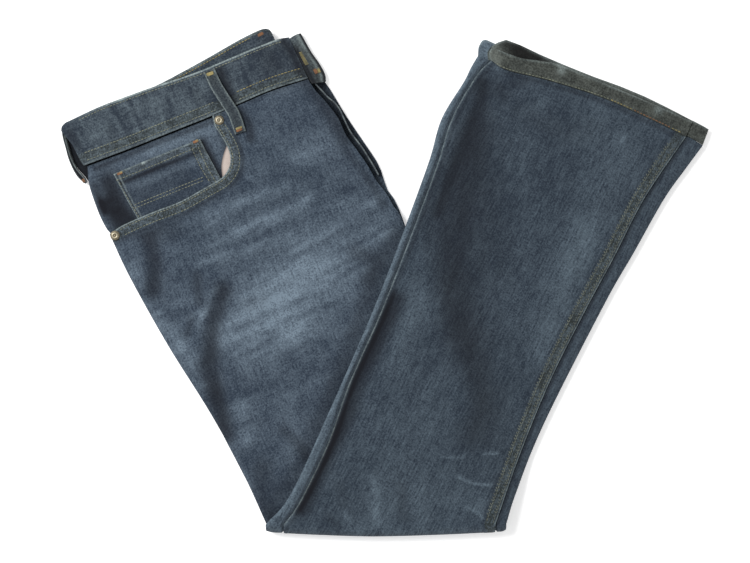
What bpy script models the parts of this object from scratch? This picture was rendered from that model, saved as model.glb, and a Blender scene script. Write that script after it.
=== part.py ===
"""Bootcut jeans, folded in half along the fly and then up at the knee, lying flat.

Metres, +Z up. X runs to the right of the folded stack and Y away from its bottom fold. Places on the
cloth are given in millimetres of the flat lay, x to the right and y down, and `at` turns them into the
part's frame. Heights are in millimetres above the surface that the jeans lie on.

From the table up the thigh is left front, left back, right back, right front. At the bottom fold that
stack turns over, so the left front is also the top of the lower leg.
"""

import math

import bmesh
import bpy
import numpy as np

MM = 0.001
LAY_MIDDLE = (385.5, 283.0)

# Thicknesses and heights of the stack, in millimetres.
CLOTH = 1.5
LIGHT_CLOTH = 1.2
SEAM_GAP = 0.3
STACK = 9.0
HIDDEN_GAP = 0.9
FOLD_CLEARANCE = 1.0
FOLD_HEIGHT = STACK + FOLD_CLEARANCE / 2
LEG_BASE = STACK + FOLD_CLEARANCE
WAIST_RISE = 4.4
THIGH_PUFF = 5.0
LEG_PUFF = 4.5
PUFF_WIDTH = 75.0
FOLD_FADE = 90.0
EDGE_CURL = 2.0
EDGE_WIDTH = 7.0
LEG_EDGE_CURL = 1.5
UNDER_CURL = 0.8
DRAPE_WIDTH = 52.0
BAND_THICK = 2.6
BAND_PROUD = 0.8
BACK_BAND_HEIGHT = 6.6
HEM_THICK = 2.4
HEM_PROUD = 0.7
HEM_CLEARANCE = 5.0
MOUTH_RISE = 3.0
LOOP_THICK = 1.8
LOOP_WIDTH = 11.7
LOOP_BOW = 2.4
RIVET_RADIUS = 4.7

# Rows and columns of the panels.
SHARES = np.array([0, 0.012, 0.03, 0.07, 0.14, 0.24, 0.36, 0.5, 0.64, 0.76, 0.86, 0.93, 0.97, 0.988, 1])
SCOOP_ROWS = 9
THIGH_ROWS = 13
FOLD_ROWS = 7
LEG_ROWS = 19

# Outlines of the lay, in millimetres (x, y), from the waist down, or from the fold up to the hem.
WAIST_TOP = [
    (61.4, 131.5), (62, 127.4), (65.4, 123.6), (71.5, 120.6), (99.4, 107.5), (125, 97.8), (150.6, 88.5),
    (188, 76), (206, 69.3), (222, 62.4), (239, 55.3), (258, 47.4), (277, 40.2), (289, 38),
]
WAIST_SEAM = [(84, 166), (130, 149), (170, 133), (215, 115), (270, 91), (308, 79)]
BAND_LEFT = [(61.4, 131.5), (67, 138.5), (72.5, 145.5), (77, 154), (80.5, 161), (84, 166)]
BAND_RIGHT = [(289, 38), (294, 49), (302, 66), (308, 79)]
BACK_TOP = [
    (92, 113), (110, 104.5), (153, 86.5), (182, 71.5), (208, 57.2), (239, 39.5), (258, 30.2), (265, 28.2),
    (269.4, 29.4), (272, 33),
]
BACK_BOTTOM = [
    (106, 150), (126, 142), (168, 125), (196, 111), (222, 99), (252, 82), (271, 74), (288, 66),
]
END_LEFT = [(290, 38.5), (296, 51), (303, 66), (309.5, 78), (313, 83.4)]
END_RIGHT = [(300, 32.5), (310, 50.5), (318.6, 63), (324, 73.5), (325, 81)]
THIGH_SIDE = [
    (84, 166), (86, 184), (94.5, 208), (101, 223), (109, 234), (129, 277), (167, 345), (210, 414),
    (244.5, 478), (266, 524),
]
SIDE_SEAM = [(109, 234), (129, 277), (167, 345), (210, 414), (244.5, 478), (266, 524)]
THIGH_RIGHT = [
    (309, 79), (325, 84), (346, 111), (363, 142), (381, 168), (390, 192), (406, 222), (455, 372), (503, 523),
]
RIGHT_FLY = [
    (308, 79.5), (315, 90), (325, 101), (338, 118), (346, 135), (357, 150), (368, 166), (376, 180),
    (390, 204), (406, 233), (455, 376), (503, 523),
]
LEFT_FLY = [
    (316.2, 84.4), (322.5, 91), (328.3, 97.2), (334.6, 102.4), (340, 109.5), (343.8, 118), (350.5, 131.5),
    (363, 148.5), (373.2, 165), (378.6, 174.6),
]
UNDER_LEFT = [
    (86.5, 168), (88.5, 184), (96.5, 208), (104, 224), (111.5, 236), (131.5, 277), (169.5, 345), (212.5, 414),
    (242, 465), (284, 524),
]
UNDER_RIGHT = [
    (324.3, 80.2), (329.8, 88), (337.4, 100.6), (345, 113.2), (354.4, 127.5), (364.6, 142.5), (374.5, 157),
    (380.5, 168), (388, 190), (403.5, 220), (452, 372), (481, 470), (495, 523),
]
HIDDEN_LEFT = [
    (67, 131), (67.4, 137), (70, 147), (73.4, 158), (78.5, 168), (86.4, 177), (92.6, 187), (99.5, 208),
    (108.5, 226), (115, 237), (134, 277), (172, 345), (215, 414), (248.5, 475), (271, 524),
]
HIDDEN_RIGHT = [
    (287, 50), (304, 80), (321, 101), (334, 118), (342, 135), (353, 150), (364, 166), (373, 182),
    (386, 204), (400, 230), (450, 376), (498, 523),
]
HIDDEN_TOP = [(67, 131), (110, 110), (169, 89.5), (205, 76), (241, 60.5), (277, 48), (287, 48)]
FOLD_LINE = [(266, 524), (320, 525.8), (375, 527.3), (440, 525.6), (503, 523)]
LEG_LEFT = [
    (266, 524), (290.7, 494), (328, 414), (369, 320), (389, 270), (407, 222), (429.5, 160), (442, 118),
    (464, 81.5), (471, 67.5), (477.8, 55.8),
]
LOWER_LEFT = [
    (270, 524), (294.7, 494), (332, 414), (373, 320), (393, 270), (411, 222), (432.5, 160), (445, 117.5),
    (467.5, 81.5), (474.5, 67.5), (480.5, 56.5),
]
LEG_RIGHT = [
    (506, 523), (516, 493), (547, 419), (605.4, 304), (634.5, 253), (665, 199), (687, 168), (704, 145),
]
OUTSEAM = [
    (284, 524), (301, 499), (329, 440), (349, 383.5), (380, 313.5), (409, 240), (437, 165), (452, 118),
    (476, 76), (491, 60),
]
INSEAM = [
    (495, 523), (513.7, 471), (549.6, 383), (585.5, 311), (614, 258), (645, 198), (686.5, 136.5),
]
OUTER_FOLD = [OUTSEAM[0]] + FOLD_LINE[1:4] + [INSEAM[0]]
HEM_SEAM = [(491, 60), (507, 70), (549, 80.5), (601, 97), (646, 117), (686.5, 136.5)]
HEM_LINE = [(477, 55.6), (491, 59), (507, 70), (549, 80.5), (601, 97), (646, 117), (704, 145)]
HEM_FRONT_EDGE = [
    (499, 50), (510, 54.6), (523, 59), (542, 61.6), (560, 65.2), (611, 86), (654, 104), (693, 122),
]
HEM_BACK_EDGE = [(491, 47), (499, 42), (510, 40.3), (542, 55), (586, 73.4), (642, 94.8), (710, 129.3)]
HEM_RIGHT_EDGE = [
    (479.2, 46), (481.5, 41), (486, 38.3), (497, 43), (530, 57), (600, 86), (660, 112), (698, 130),
]
HEM_RIGHT_SEAM = [(478.4, 54.2), (491, 59.5), (507, 69), (549, 80.5), (601, 97), (646, 117), (698, 142)]
SCOOP = [
    (212.5, 116), (215, 126), (220, 134), (227, 146), (230.4, 156), (229.6, 167), (222, 178), (205, 188),
    (180, 202), (153.6, 212), (124, 224.6), (109, 234),
]
FACING_TOP = [(87, 166), (130, 150), (170, 134), (215, 116), (240, 105)]
FACING_LEFT = [(87, 166), (88.4, 184), (95.6, 207), (103, 224), (110, 233.5), (122, 239)]
FACING_RIGHT = [(240, 105), (247, 135), (247, 165), (238, 192)]
FACING_BOTTOM = [(122, 239), (160, 227), (204, 212), (238, 192)]
COIN_TOP = [(113.4, 174), (156, 156.5), (200, 139)]
COIN_LEFT = [(113.4, 174), (128, 202), (143, 228)]
COIN_RIGHT = [(200, 139), (211, 160), (226, 188)]
COIN_BOTTOM = [(143, 228), (186, 210), (226, 188)]
BAG_LEFT = [(226.5, 146), (222.8, 157), (221.5, 167), (222.5, 178)]
BAG_RIGHT = [(238, 143), (241, 160), (237, 178)]
SIDE_LOOP = [
    (62.8, 127), (62.9, 133), (64, 139), (66.2, 147), (69.2, 158), (73.6, 168), (78.6, 176), (84.8, 182),
]
FRONT_LOOP = [(209.5, 71), (217, 87), (226.5, 102), (234.5, 115), (240.8, 133)]
POCKET_MIDDLE = (160, 175)
POCKET_REACH = (105.0, 70.0)
RIVETS = {"rivet_waist": (219.4, 120.5), "rivet_side": (114.8, 235.5)}

INDIGO = (0.045, 0.070, 0.105, 1.0)
INDIGO_DARK = (0.020, 0.028, 0.045, 1.0)
OLIVE = (0.065, 0.072, 0.060, 1.0)
CREAM = (0.62, 0.50, 0.43, 1.0)
BRASS = (0.52, 0.43, 0.26, 1.0)


def smooth(value):
    """0 below 0, 1 above 1, and an S-curve between them."""
    value = np.clip(value, 0.0, 1.0)
    return value * value * (3.0 - 2.0 * value)


def spline(points, steps=16):
    """A fine line through the points, with tangents taken from each point's neighbours."""
    points = np.array(points, float)
    before = np.vstack([2 * points[0] - points[1], points[:-1]])
    after = np.vstack([points[1:], 2 * points[-1] - points[-2]])
    tangents = (after - before) / 2
    line = []
    for start, end, leave, arrive in zip(points[:-1], points[1:], tangents[:-1], tangents[1:]):
        for step in np.arange(steps) / steps:
            square, cube = step**2, step**3
            line.append(
                (2 * cube - 3 * square + 1) * start + (cube - 2 * square + step) * leave
                + (3 * square - 2 * cube) * end + (cube - square) * arrive
            )
    return np.vstack([line, points[-1]])


def lengths(line):
    """How far along its line each point lies."""
    return np.concatenate([[0], np.cumsum(np.linalg.norm(np.diff(line, axis=0), axis=1))])


def along(points, shares):
    """Points at the given shares of the curve's length, or as many as asked for, evenly spaced."""
    line = spline(points)
    length = lengths(line)
    shares = np.linspace(0, 1, shares) if isinstance(shares, int) else shares
    where = shares * length[-1]
    return np.stack([np.interp(where, length, line[:, axis]) for axis in (0, 1)], axis=-1)


def x_at(points, y):
    """The curve's x at each y, for a curve that y orders."""
    line = spline(points)
    line = line[np.argsort(line[:, 1])]
    return np.interp(y, line[:, 1], line[:, 0])


def y_at(points, x):
    """The curve's y at each x."""
    return x_at([(y, x_) for x_, y in points], x)


def patch(left, right, start, end, shares=None):
    """A grid of places (rows, columns, 2) inside four edges, blended so that it meets each of them."""
    across = (np.linspace(0, 1, len(start)) if shares is None else shares)[None, :, None]
    down = np.linspace(0, 1, len(left))[:, None, None]
    left, right, start, end = left[:, None], right[:, None], start[None], end[None]
    ruled = (1 - across) * left + across * right + (1 - down) * start + down * end
    corners = (
        (1 - across) * (1 - down) * start[:, :1] + across * (1 - down) * start[:, -1:]
        + (1 - across) * down * end[:, :1] + across * down * end[:, -1:]
    )
    return ruled - corners


def below_waist(x, y):
    """How far a place lies below the waist seam, across the band."""
    (x0, y0), (x1, y1) = WAIST_SEAM[0], WAIST_SEAM[-1]
    return ((x - x0) * (y0 - y1) + (y - y0) * (x1 - x0)) / math.hypot(x1 - x0, y1 - y0)


def thigh_puff(x, y):
    """How far the thigh's middle stands above its edges."""
    left = x - x_at(THIGH_SIDE, y)
    right = x_at(THIGH_RIGHT, y) - x
    fold = FOLD_LINE[2][1] - y
    soft = smooth(left / PUFF_WIDTH) * smooth(right / PUFF_WIDTH) * smooth(fold / FOLD_FADE)
    return THIGH_PUFF * soft * smooth((below_waist(x, y) + 10.0) / 110.0)


def thigh_surface(x, y):
    """Height of the thigh's top face: thick at the waist, soft in the middle and rounded at both sides."""
    left = x - x_at(THIGH_SIDE, y)
    right = x_at(THIGH_RIGHT, y) - x
    waist = below_waist(x, y)
    rise = WAIST_RISE * (1 - smooth(waist / 120.0))
    curl = EDGE_CURL * (2 - smooth(left / EDGE_WIDTH) - smooth(right / EDGE_WIDTH))
    curl *= smooth((waist + 2.0) / 14.0) * smooth((FOLD_LINE[0][1] - y) / 40.0)
    return STACK + rise + thigh_puff(x, y) - curl


def leg_floor(x, y):
    """Height under the lower leg: the thigh where there is one, and then down to the table."""
    beyond = x - x_at([(312, 30)] + THIGH_RIGHT, y)
    rise = WAIST_RISE * (1 - smooth(below_waist(x, y) / 120.0))
    return (LEG_BASE + thigh_puff(x, y) + rise) * (1 - smooth(beyond / DRAPE_WIDTH))


def leg_puff(x, y):
    """How far the lower leg's middle stands above its edges."""
    left = x - x_at(LEG_LEFT, y)
    right = x_at(LEG_RIGHT, y) - x
    fold = FOLD_LINE[2][1] - y
    hem = y - y_at(HEM_LINE, x)
    soft = smooth(left / PUFF_WIDTH) * smooth(right / PUFF_WIDTH) * smooth(fold / FOLD_FADE)
    return LEG_PUFF * soft * smooth(hem / PUFF_WIDTH)


def leg_curl(x, y):
    """How far the lower pair of layers turns up at the lower leg's sides."""
    left = x - x_at(LEG_LEFT, y)
    right = x_at(LEG_RIGHT, y) - x
    return LEG_EDGE_CURL * (2 - smooth((left - 4) / 8) - smooth((right - 4) / 8))


def at(places, heights):
    """Places on the lay and their heights, as points of the part in metres."""
    heights = np.broadcast_to(heights, places.shape[:-1])
    x = (places[..., 0] - LAY_MIDDLE[0]) * MM
    y = (LAY_MIDDLE[1] - places[..., 1]) * MM
    return np.stack([x, y, heights * MM], axis=-1)


def round_fold(last, first, last_depth, first_depth):
    """Rows round the bottom fold, from the thigh's last row to the lower leg's first."""
    rows = []
    for share in np.linspace(0, 1, FOLD_ROWS + 2)[1:-1]:
        angle = math.pi * share
        radius = FOLD_HEIGHT - (last_depth + (first_depth - last_depth) * share)
        turned = last + (first - last) * share
        turned[:, 1] += radius * math.sin(angle)
        rows.append(at(turned, FOLD_HEIGHT - radius * math.cos(angle)))
    return np.array(rows)


def turned_over(places, depth):
    """The lower leg's points, from each one's height in the stack before it was folded up."""
    return at(places, leg_floor(places[..., 0], places[..., 1]) + STACK - depth)


def material(name, colour, roughness, metallic):
    made = bpy.data.materials.new(name)
    made.use_nodes = True
    shader = made.node_tree.nodes["Principled BSDF"]
    shader.inputs["Base Color"].default_value = colour
    shader.inputs["Roughness"].default_value = roughness
    shader.inputs["Metallic"].default_value = metallic
    return made


def finish(name, mesh, colour, roughness=0.9, metallic=0.0):
    """Closes off a mesh as a named object with its own material."""
    bmesh.ops.recalc_face_normals(mesh, faces=mesh.faces)
    data = bpy.data.meshes.new(name)
    mesh.to_mesh(data)
    mesh.free()
    data.shade_smooth()
    data.set_sharp_from_angle(angle=math.radians(50))
    data.materials.append(material(name, colour, roughness, metallic))
    made = bpy.data.objects.new(name, data)
    bpy.context.scene.collection.objects.link(made)
    return made


def wall(name, upper, lower, colour):
    """A closed wall between two grids of points (rows, columns, 3), with a rim all round."""
    rows, columns = upper.shape[:2]
    mesh = bmesh.new()
    top, under = [[[mesh.verts.new(point) for point in row] for row in grid] for grid in (upper, lower)]

    def quad(a, b, c, d):
        mesh.faces.new((a, b, c))
        mesh.faces.new((a, c, d))

    for grid in (top, under):
        for row in range(rows - 1):
            for column in range(columns - 1):
                near, far = grid[row], grid[row + 1]
                quad(near[column], near[column + 1], far[column + 1], far[column])
    rim = [(0, column) for column in range(columns)]
    rim += [(row, columns - 1) for row in range(1, rows)]
    rim += [(rows - 1, column) for column in range(columns - 2, -1, -1)]
    rim += [(row, 0) for row in range(rows - 2, 0, -1)]
    for (row, column), (next_row, next_column) in zip(rim, rim[1:] + rim[:1]):
        quad(top[row][column], top[next_row][next_column], under[next_row][next_column], under[row][column])
    return finish(name, mesh, colour)


def lay_wall(name, places, heights, thick, colour):
    """A wall whose upper face lies at the given heights over the lay."""
    return wall(name, at(places, heights), at(places, heights - thick), colour)


def left_front_leg():
    """The places of the left front panel on top of the lower leg."""
    return patch(
        along(OUTSEAM, LEG_ROWS), along(INSEAM, LEG_ROWS), along(OUTER_FOLD, SHARES),
        along(HEM_SEAM, SHARES), SHARES,
    )


def left_front():
    """The underside of the thigh, the outside of the bottom fold and the top of the lower leg."""
    under_top = [UNDER_LEFT[0], (130, 151), (170, 135), (215, 117), (270, 93), (308, 81.5), UNDER_RIGHT[0]]
    thigh = patch(
        along(UNDER_LEFT, THIGH_ROWS), along(UNDER_RIGHT, THIGH_ROWS), along(under_top, SHARES),
        along(OUTER_FOLD, SHARES), SHARES,
    )
    leg = left_front_leg()
    curl = np.zeros(thigh.shape[:2])
    curl[:-1, (0, -1)] = UNDER_CURL
    curl[:-1, (1, -2)] = UNDER_CURL * 0.3
    puff = leg_puff(leg[..., 0], leg[..., 1])
    flat = np.zeros(len(SHARES))
    grids = []
    for depth in (CLOTH, 0.0):
        fold = round_fold(thigh[-1], leg[0], flat + depth, flat + depth)
        grids.append(np.concatenate([at(thigh, curl + depth), fold, turned_over(leg, depth - puff)]))
    wall("left_front", grids[0], grids[1], INDIGO)


def left_back_leg():
    """The left back's places on the lower leg, and each column's depth below the left front's face."""
    leg = left_front_leg()
    under = CLOTH + SEAM_GAP
    strips = {1.0: 2.6, 0.82: 1.4, 0.5: 0.6, 0.0: 0.4}
    columns, depths = [], []
    for side, seam, step in ((LEG_LEFT, leg[:, 0], -1), (LEG_RIGHT, leg[:, -1], 1)):
        edge, start = along(side, LEG_ROWS), seam + (2.4 * step, 0)
        strip = [start + (edge - start) * share for share in strips] + [seam + (0.9 * step, 0)]
        columns.append(strip[::-step] if step > 0 else strip)
        depths.append([*strips.values(), under][:: -step if step > 0 else 1])
    inner = [leg[:, column] for column in range(1, len(SHARES) - 1)]
    places = np.stack(columns[0] + inner + columns[1], axis=1)
    return places, np.array(depths[0] + [under] * len(inner) + depths[1])


def left_back():
    """Under the left front on the lower leg, and past both of its seams, where its strips show."""
    places, depths = left_back_leg()
    puff = leg_puff(places[..., 0], places[..., 1])
    grids = []
    for depth in (CLOTH - 0.1, 0.0):
        fold = round_fold(places[0], places[0], depths + depth, depths + depth)
        grids.append(np.concatenate([fold, turned_over(places, depths + depth - puff)]))
    wall("left_back", grids[0], grids[1], INDIGO)


def lower_leg_places(inset):
    """The places of the layers under the left back, which stop short of the lower leg's sides."""
    places = left_front_leg()
    places[:, 0] = along(LOWER_LEFT, LEG_ROWS) + (inset, 0)
    places[:, -1] = along(LEG_RIGHT, LEG_ROWS) - (inset + 4.0, 0)
    places[-1, :, 1] += HEM_CLEARANCE
    return places


def right_front():
    """The top of the thigh with its pocket mouth, the inside of the fold, and the lower leg's underside."""
    left = np.vstack([along(SCOOP, SCOOP_ROWS), along(SIDE_SEAM, THIGH_ROWS)[1:]])
    start = along([SCOOP[0], (240, 105), (270, 92), RIGHT_FLY[0]], SHARES)
    thigh = patch(left, along(RIGHT_FLY, len(left)), start, along(FOLD_LINE, SHARES), SHARES)
    leg = lower_leg_places(0.0)
    surface = thigh_surface(thigh[..., 0], thigh[..., 1])
    curl = leg_curl(leg[..., 0], leg[..., 1])
    grids = []
    for depth in (0.0, CLOTH):
        last, first = surface - depth, STACK - curl - depth
        fold = round_fold(thigh[-1], leg[0], last[-1], first[0])
        grids.append(np.concatenate([at(thigh, last), fold, turned_over(leg, first)]))
    wall("right_front", grids[0], grids[1], INDIGO)


def pocket_share(x, y):
    """1 where the pocket's own pieces lie on the hidden layers, fading to 0 around them."""
    (x0, y0), (x1, y1) = WAIST_SEAM[0], WAIST_SEAM[-1]
    slope = math.atan2(y1 - y0, x1 - x0)
    x, y = x - POCKET_MIDDLE[0], y - POCKET_MIDDLE[1]
    across = x * math.cos(slope) + y * math.sin(slope)
    down = y * math.cos(slope) - x * math.sin(slope)
    reach = (across / POCKET_REACH[0]) ** 2 + (down / POCKET_REACH[1]) ** 2
    return 1 - smooth((reach - 1.5) / 0.6)


def with_rims(places, upper, lower):
    """Adds two rounded layers, with a groove between them, along both sides of a thick grid."""
    middle = (upper + lower) / 2
    step = np.array([2.0, 0.0])
    groove = 0.15
    sunk = np.full((len(places), 1), 0.1)
    sunk[(0, -1), :] = 1.1
    full, edge_upper, edge_lower = [], [], []
    for column, side in ((0, -1), (-1, 1)):
        place, top, under = places[:, column], upper[:, column], lower[:, column]
        half = (top - under) / 2
        ring = [place + side * step, place + side * sunk * step]
        levels = [half * 0.5, np.full_like(half, groove)]
        order = [1, 0] if side < 0 else [0, 1]
        full.append(np.stack([ring[i] for i in order], axis=1))
        edge_upper.append(np.stack([middle[:, column] + levels[i] for i in order], axis=1))
        edge_lower.append(np.stack([middle[:, column] - levels[i] for i in order], axis=1))
    return (
        np.concatenate([full[0], places, full[1]], axis=1),
        np.concatenate([edge_upper[0], upper, edge_upper[1]], axis=1),
        np.concatenate([edge_lower[0], lower, edge_lower[1]], axis=1),
    )


def hidden_layers():
    """The layers between the fronts as one rounded solid: both backs on the thigh, one on the leg."""
    rows = THIGH_ROWS + 5
    fold_end = [HIDDEN_LEFT[-1]] + FOLD_LINE[1:4] + [HIDDEN_RIGHT[-1]]
    thigh = patch(
        along(HIDDEN_LEFT, rows), along(HIDDEN_RIGHT, rows), along(HIDDEN_TOP, SHARES),
        along(fold_end, SHARES), SHARES,
    )
    x, y = thigh[..., 0], thigh[..., 1]
    pocket = (2 * (LIGHT_CLOTH + SEAM_GAP) + 0.3) * pocket_share(x, y)
    high = thigh_surface(x, y) - CLOTH - HIDDEN_GAP - pocket
    band_low = BACK_BAND_HEIGHT - HIDDEN_GAP
    high = band_low + (high - band_low) * smooth((below_waist(x, y) - 5) / 20)
    fold = smooth((y - 440) / 60)
    under_band = 1 - smooth((below_waist(x, y) - 25) / 25)
    low = CLOTH + HIDDEN_GAP + CLOTH * fold + (BAND_THICK - CLOTH) * under_band
    low[:, (0, -1)] += UNDER_CURL / 4 * (1 - fold[:, (0, -1)])
    high = np.maximum(high, low + 0.6)
    leg = lower_leg_places(2.5)
    puff, curl = leg_puff(leg[..., 0], leg[..., 1]), leg_curl(leg[..., 0], leg[..., 1])
    thigh, high, low = with_rims(thigh, high, low)
    leg_rim, leg_high, leg_low = with_rims(
        leg, STACK - CLOTH - HIDDEN_GAP - curl, 2 * CLOTH + HIDDEN_GAP + 0.2 - puff
    )
    grids = []
    for last, first in ((high, leg_high), (low, leg_low)):
        fold_rows = round_fold(thigh[-1], leg_rim[0], last[-1], first[0])
        grids.append(np.concatenate([at(thigh, last), fold_rows, turned_over(leg_rim, first)]))
    wall("hidden_layers", grids[0], grids[1], INDIGO_DARK)


def band_places(rows, columns, inset=0.0):
    """The front waistband's places, from its top edge to just above the waist seam."""
    return patch(
        along(BAND_LEFT, rows) + (inset, 0), along(BAND_RIGHT, rows) - (inset, 0),
        along(WAIST_TOP, columns) + (0, inset), along(WAIST_SEAM, columns),
    ) - (0, 0.5)


def waistbands():
    """The right front band, the left one under the stack, the back one and the left one's end."""
    front = band_places(5, 17)
    edge = np.array([0.7, 0.0, 0.0, 0.0, 0.5])[:, None]
    height = STACK + WAIST_RISE + BAND_PROUD - edge * np.ones(17)
    lay_wall("waistband_right", front, height, BAND_THICK - edge, INDIGO)

    under = band_places(3, 13, 2.0)
    lay_wall("waistband_left", under, np.full((3, 13), BAND_THICK), BAND_THICK, INDIGO)

    back = patch(
        along([BACK_TOP[0], (99, 131), BACK_BOTTOM[0]], 5),
        along([BACK_TOP[-1], (278, 46), BACK_BOTTOM[-1]], 5),
        along(BACK_TOP, 17), along(BACK_BOTTOM, 17),
    )
    lean = np.array([0.9, 0.5, 0.2, 0.0, 0.0])[:, None] * np.ones(17)
    lay_wall("waistband_back", back, BACK_BAND_HEIGHT + 2.4 + lean, 2.4, OLIVE)

    end = patch(
        along(END_LEFT, 7), along(END_RIGHT, 7),
        along([END_LEFT[0], (296, 34.5), END_RIGHT[0]], 6), along([END_LEFT[-1], END_RIGHT[-1]], 6),
    )
    turn = np.linspace(0, 1, 6)[None, :] * np.ones((7, 1))
    lay_wall("waistband_left_end", end, 13.8 - 6.9 * turn**2, 3.0 + turn, INDIGO)


def ribbon(name, path, count, thick, low, high, colour):
    """A strip that stands on its edge along a path, `low` to `high` above the table."""
    middle = along(path, count)
    ahead = np.gradient(middle, axis=0)
    side = np.stack([-ahead[:, 1], ahead[:, 0]], axis=1)
    side *= thick / 2 / np.linalg.norm(side, axis=1)[:, None]
    levels = np.linspace(0, 1, 4)
    heights = low + (np.broadcast_to(high, count)[:, None] - low) * levels
    faces = []
    for sign in (1, -1):
        places = np.repeat((middle + sign * side)[:, None], 4, axis=1)
        faces.append(at(places, heights))
    return wall(name, faces[0], faces[1], colour)


def fly_edge():
    """The left fly's free edge, which stands up at the fold beside the right front."""
    heights = 10.6 - 2.4 * np.linspace(0, 1, 25)
    waves = 0.7 * np.sin(np.linspace(0, 9 * math.pi, 25))
    ribbon("left_fly", LEFT_FLY, 25, 1.6, 2.1, heights + waves, INDIGO)


def belt_loops():
    """The front loop, which bows off the band, and the side loop, seen on its edge."""
    count = 15
    middle = along(FRONT_LOOP, count)
    ahead = np.gradient(middle, axis=0)
    side = np.stack([-ahead[:, 1], ahead[:, 0]], axis=1)
    side /= np.linalg.norm(side, axis=1)[:, None]
    across = np.array([-0.5, -0.38, 0.0, 0.38, 0.5]) * LOOP_WIDTH
    places = middle[:, None] + side[:, None] * across[None, :, None]
    bow = LOOP_BOW * np.sin(np.linspace(0, math.pi, count)) ** 0.7
    base = STACK + WAIST_RISE + BAND_PROUD + SEAM_GAP
    edge = np.array([0.5, 0.0, 0.0, 0.0, 0.5])
    heights = base + LOOP_THICK + bow[:, None] - edge[None]
    lay_wall("belt_loop_front", places, heights, LOOP_THICK - edge[None], INDIGO)
    ribbon("belt_loop_side", SIDE_LOOP, 13, 2.6, 3.0, 11.2, INDIGO_DARK)


def pocket_pieces():
    """The facing behind the scoop, the coin pocket on it and the sliver of pocket bag at its right."""
    shares = np.array([0, 0.02, 0.045, 0.08, 0.14, 0.22, 0.32, 0.43, 0.54, 0.65, 0.76, 0.88, 1])
    facing = patch(
        along(FACING_LEFT, 9), along(FACING_RIGHT, 9), along(FACING_TOP, shares),
        along(FACING_BOTTOM, shares), shares,
    )
    coin = patch(along(COIN_LEFT, 6), along(COIN_RIGHT, 6), along(COIN_TOP, 10), along(COIN_BOTTOM, 10))
    bag = patch(along(BAG_LEFT, 6), along(BAG_RIGHT, 6), along([BAG_LEFT[0], BAG_RIGHT[0]], 4),
                along([BAG_LEFT[-1], BAG_RIGHT[-1]], 4))
    below = CLOTH + 0.5
    step = LIGHT_CLOTH + SEAM_GAP
    for name, places, down, thick, colour in (
        ("pocket_facing", facing, below + step, LIGHT_CLOTH, INDIGO),
        ("coin_pocket", coin, below, LIGHT_CLOTH, INDIGO),
        ("pocket_bag", bag, below, 0.8, CREAM),
    ):
        height = thigh_surface(places[..., 0], places[..., 1]) - down
        lay_wall(name, places, height, thick, colour)


def hems():
    """The left leg's front and back hem, with its mouth between them, and the right leg's under them."""
    front = patch(
        along([HEM_SEAM[0], HEM_FRONT_EDGE[0]], 4), along([HEM_SEAM[-1], HEM_FRONT_EDGE[-1]], 4),
        along(HEM_SEAM, SHARES), along(HEM_FRONT_EDGE, SHARES), SHARES,
    ) - (0, 0.6)
    toward_edge = np.linspace(0, 1, 4)[:, None]
    mouth = MOUTH_RISE * np.exp(-(((front[..., 0] - 528) / 20.0) ** 2)) * toward_edge
    round_edge = np.array([0.0, 0.0, 0.0, 0.7])[:, None]
    upper = turned_over(front, -HEM_PROUD - mouth + round_edge)
    wall("hem_left_front", upper, turned_over(front, CLOTH - mouth), OLIVE)

    places, depths = left_back_leg()
    start, depths = places[-1, 3:], depths[3:]
    shares = lengths(start) / lengths(start)[-1]
    back = patch(
        along([start[0], HEM_BACK_EDGE[0]], 4), along([start[-1], HEM_BACK_EDGE[-1]], 4),
        start, along(HEM_BACK_EDGE, shares), shares,
    ) - (0, 0.6)
    depth = depths[None] + 0.5 * toward_edge**4
    wall("hem_left_back", turned_over(back, depth), turned_over(back, depth + HEM_THICK - 0.3), OLIVE)

    right = patch(
        along([HEM_RIGHT_SEAM[0], HEM_RIGHT_EDGE[0]], 3),
        along([HEM_RIGHT_SEAM[-1], HEM_RIGHT_EDGE[-1]], 3),
        along(HEM_RIGHT_SEAM, 21),
        along(HEM_RIGHT_EDGE, 21),
    ) - (0, 0.5)
    wall("hem_right", turned_over(right, STACK - 4.0), turned_over(right, STACK), OLIVE)


def rivets():
    """A domed cap on a flat flange for each end of the pocket mouth."""
    rings = {1.0: 0.0, 0.98: 0.5, 0.72: 0.9, 0.6: 1.5, 0.3: 1.35}
    sides = 20
    for name, (x, y) in RIVETS.items():
        turns = np.linspace(0, 2 * math.pi, sides, endpoint=False)
        reach = np.stack([np.cos(turns), np.sin(turns)], axis=1) * RIVET_RADIUS
        footprint = np.array([x, y]) + reach
        base = thigh_surface(footprint[:, 0], footprint[:, 1]).max() + SEAM_GAP
        mesh = bmesh.new()
        loops = []
        for share, height in rings.items():
            loop = at(np.array([x, y]) + reach * share, base + height)
            loops.append([mesh.verts.new(point) for point in loop])
        for low, high in zip(loops[:-1], loops[1:]):
            for side in range(sides):
                after = (side + 1) % sides
                mesh.faces.new((low[side], low[after], high[after], high[side]))
        mesh.faces.new(loops[0])
        mesh.faces.new(loops[-1])
        finish(name, mesh, BRASS, 0.4, 1.0)


def main():
    for old in list(bpy.data.objects):
        bpy.data.objects.remove(old, do_unlink=True)
    left_front()
    left_back()
    hidden_layers()
    right_front()
    waistbands()
    fly_edge()
    belt_loops()
    pocket_pieces()
    hems()
    rivets()


main()
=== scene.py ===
"""Looks of the folded bootcut jeans: fine cloth over the CAD's solids, its sewing, wear, painted shade and
rivets.

Places on the cloth are in millimetres of the flat lay, x to the right and y down, as in the part's own
source, and heights are in millimetres above the surface that the jeans lie on.
"""

import math

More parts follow.
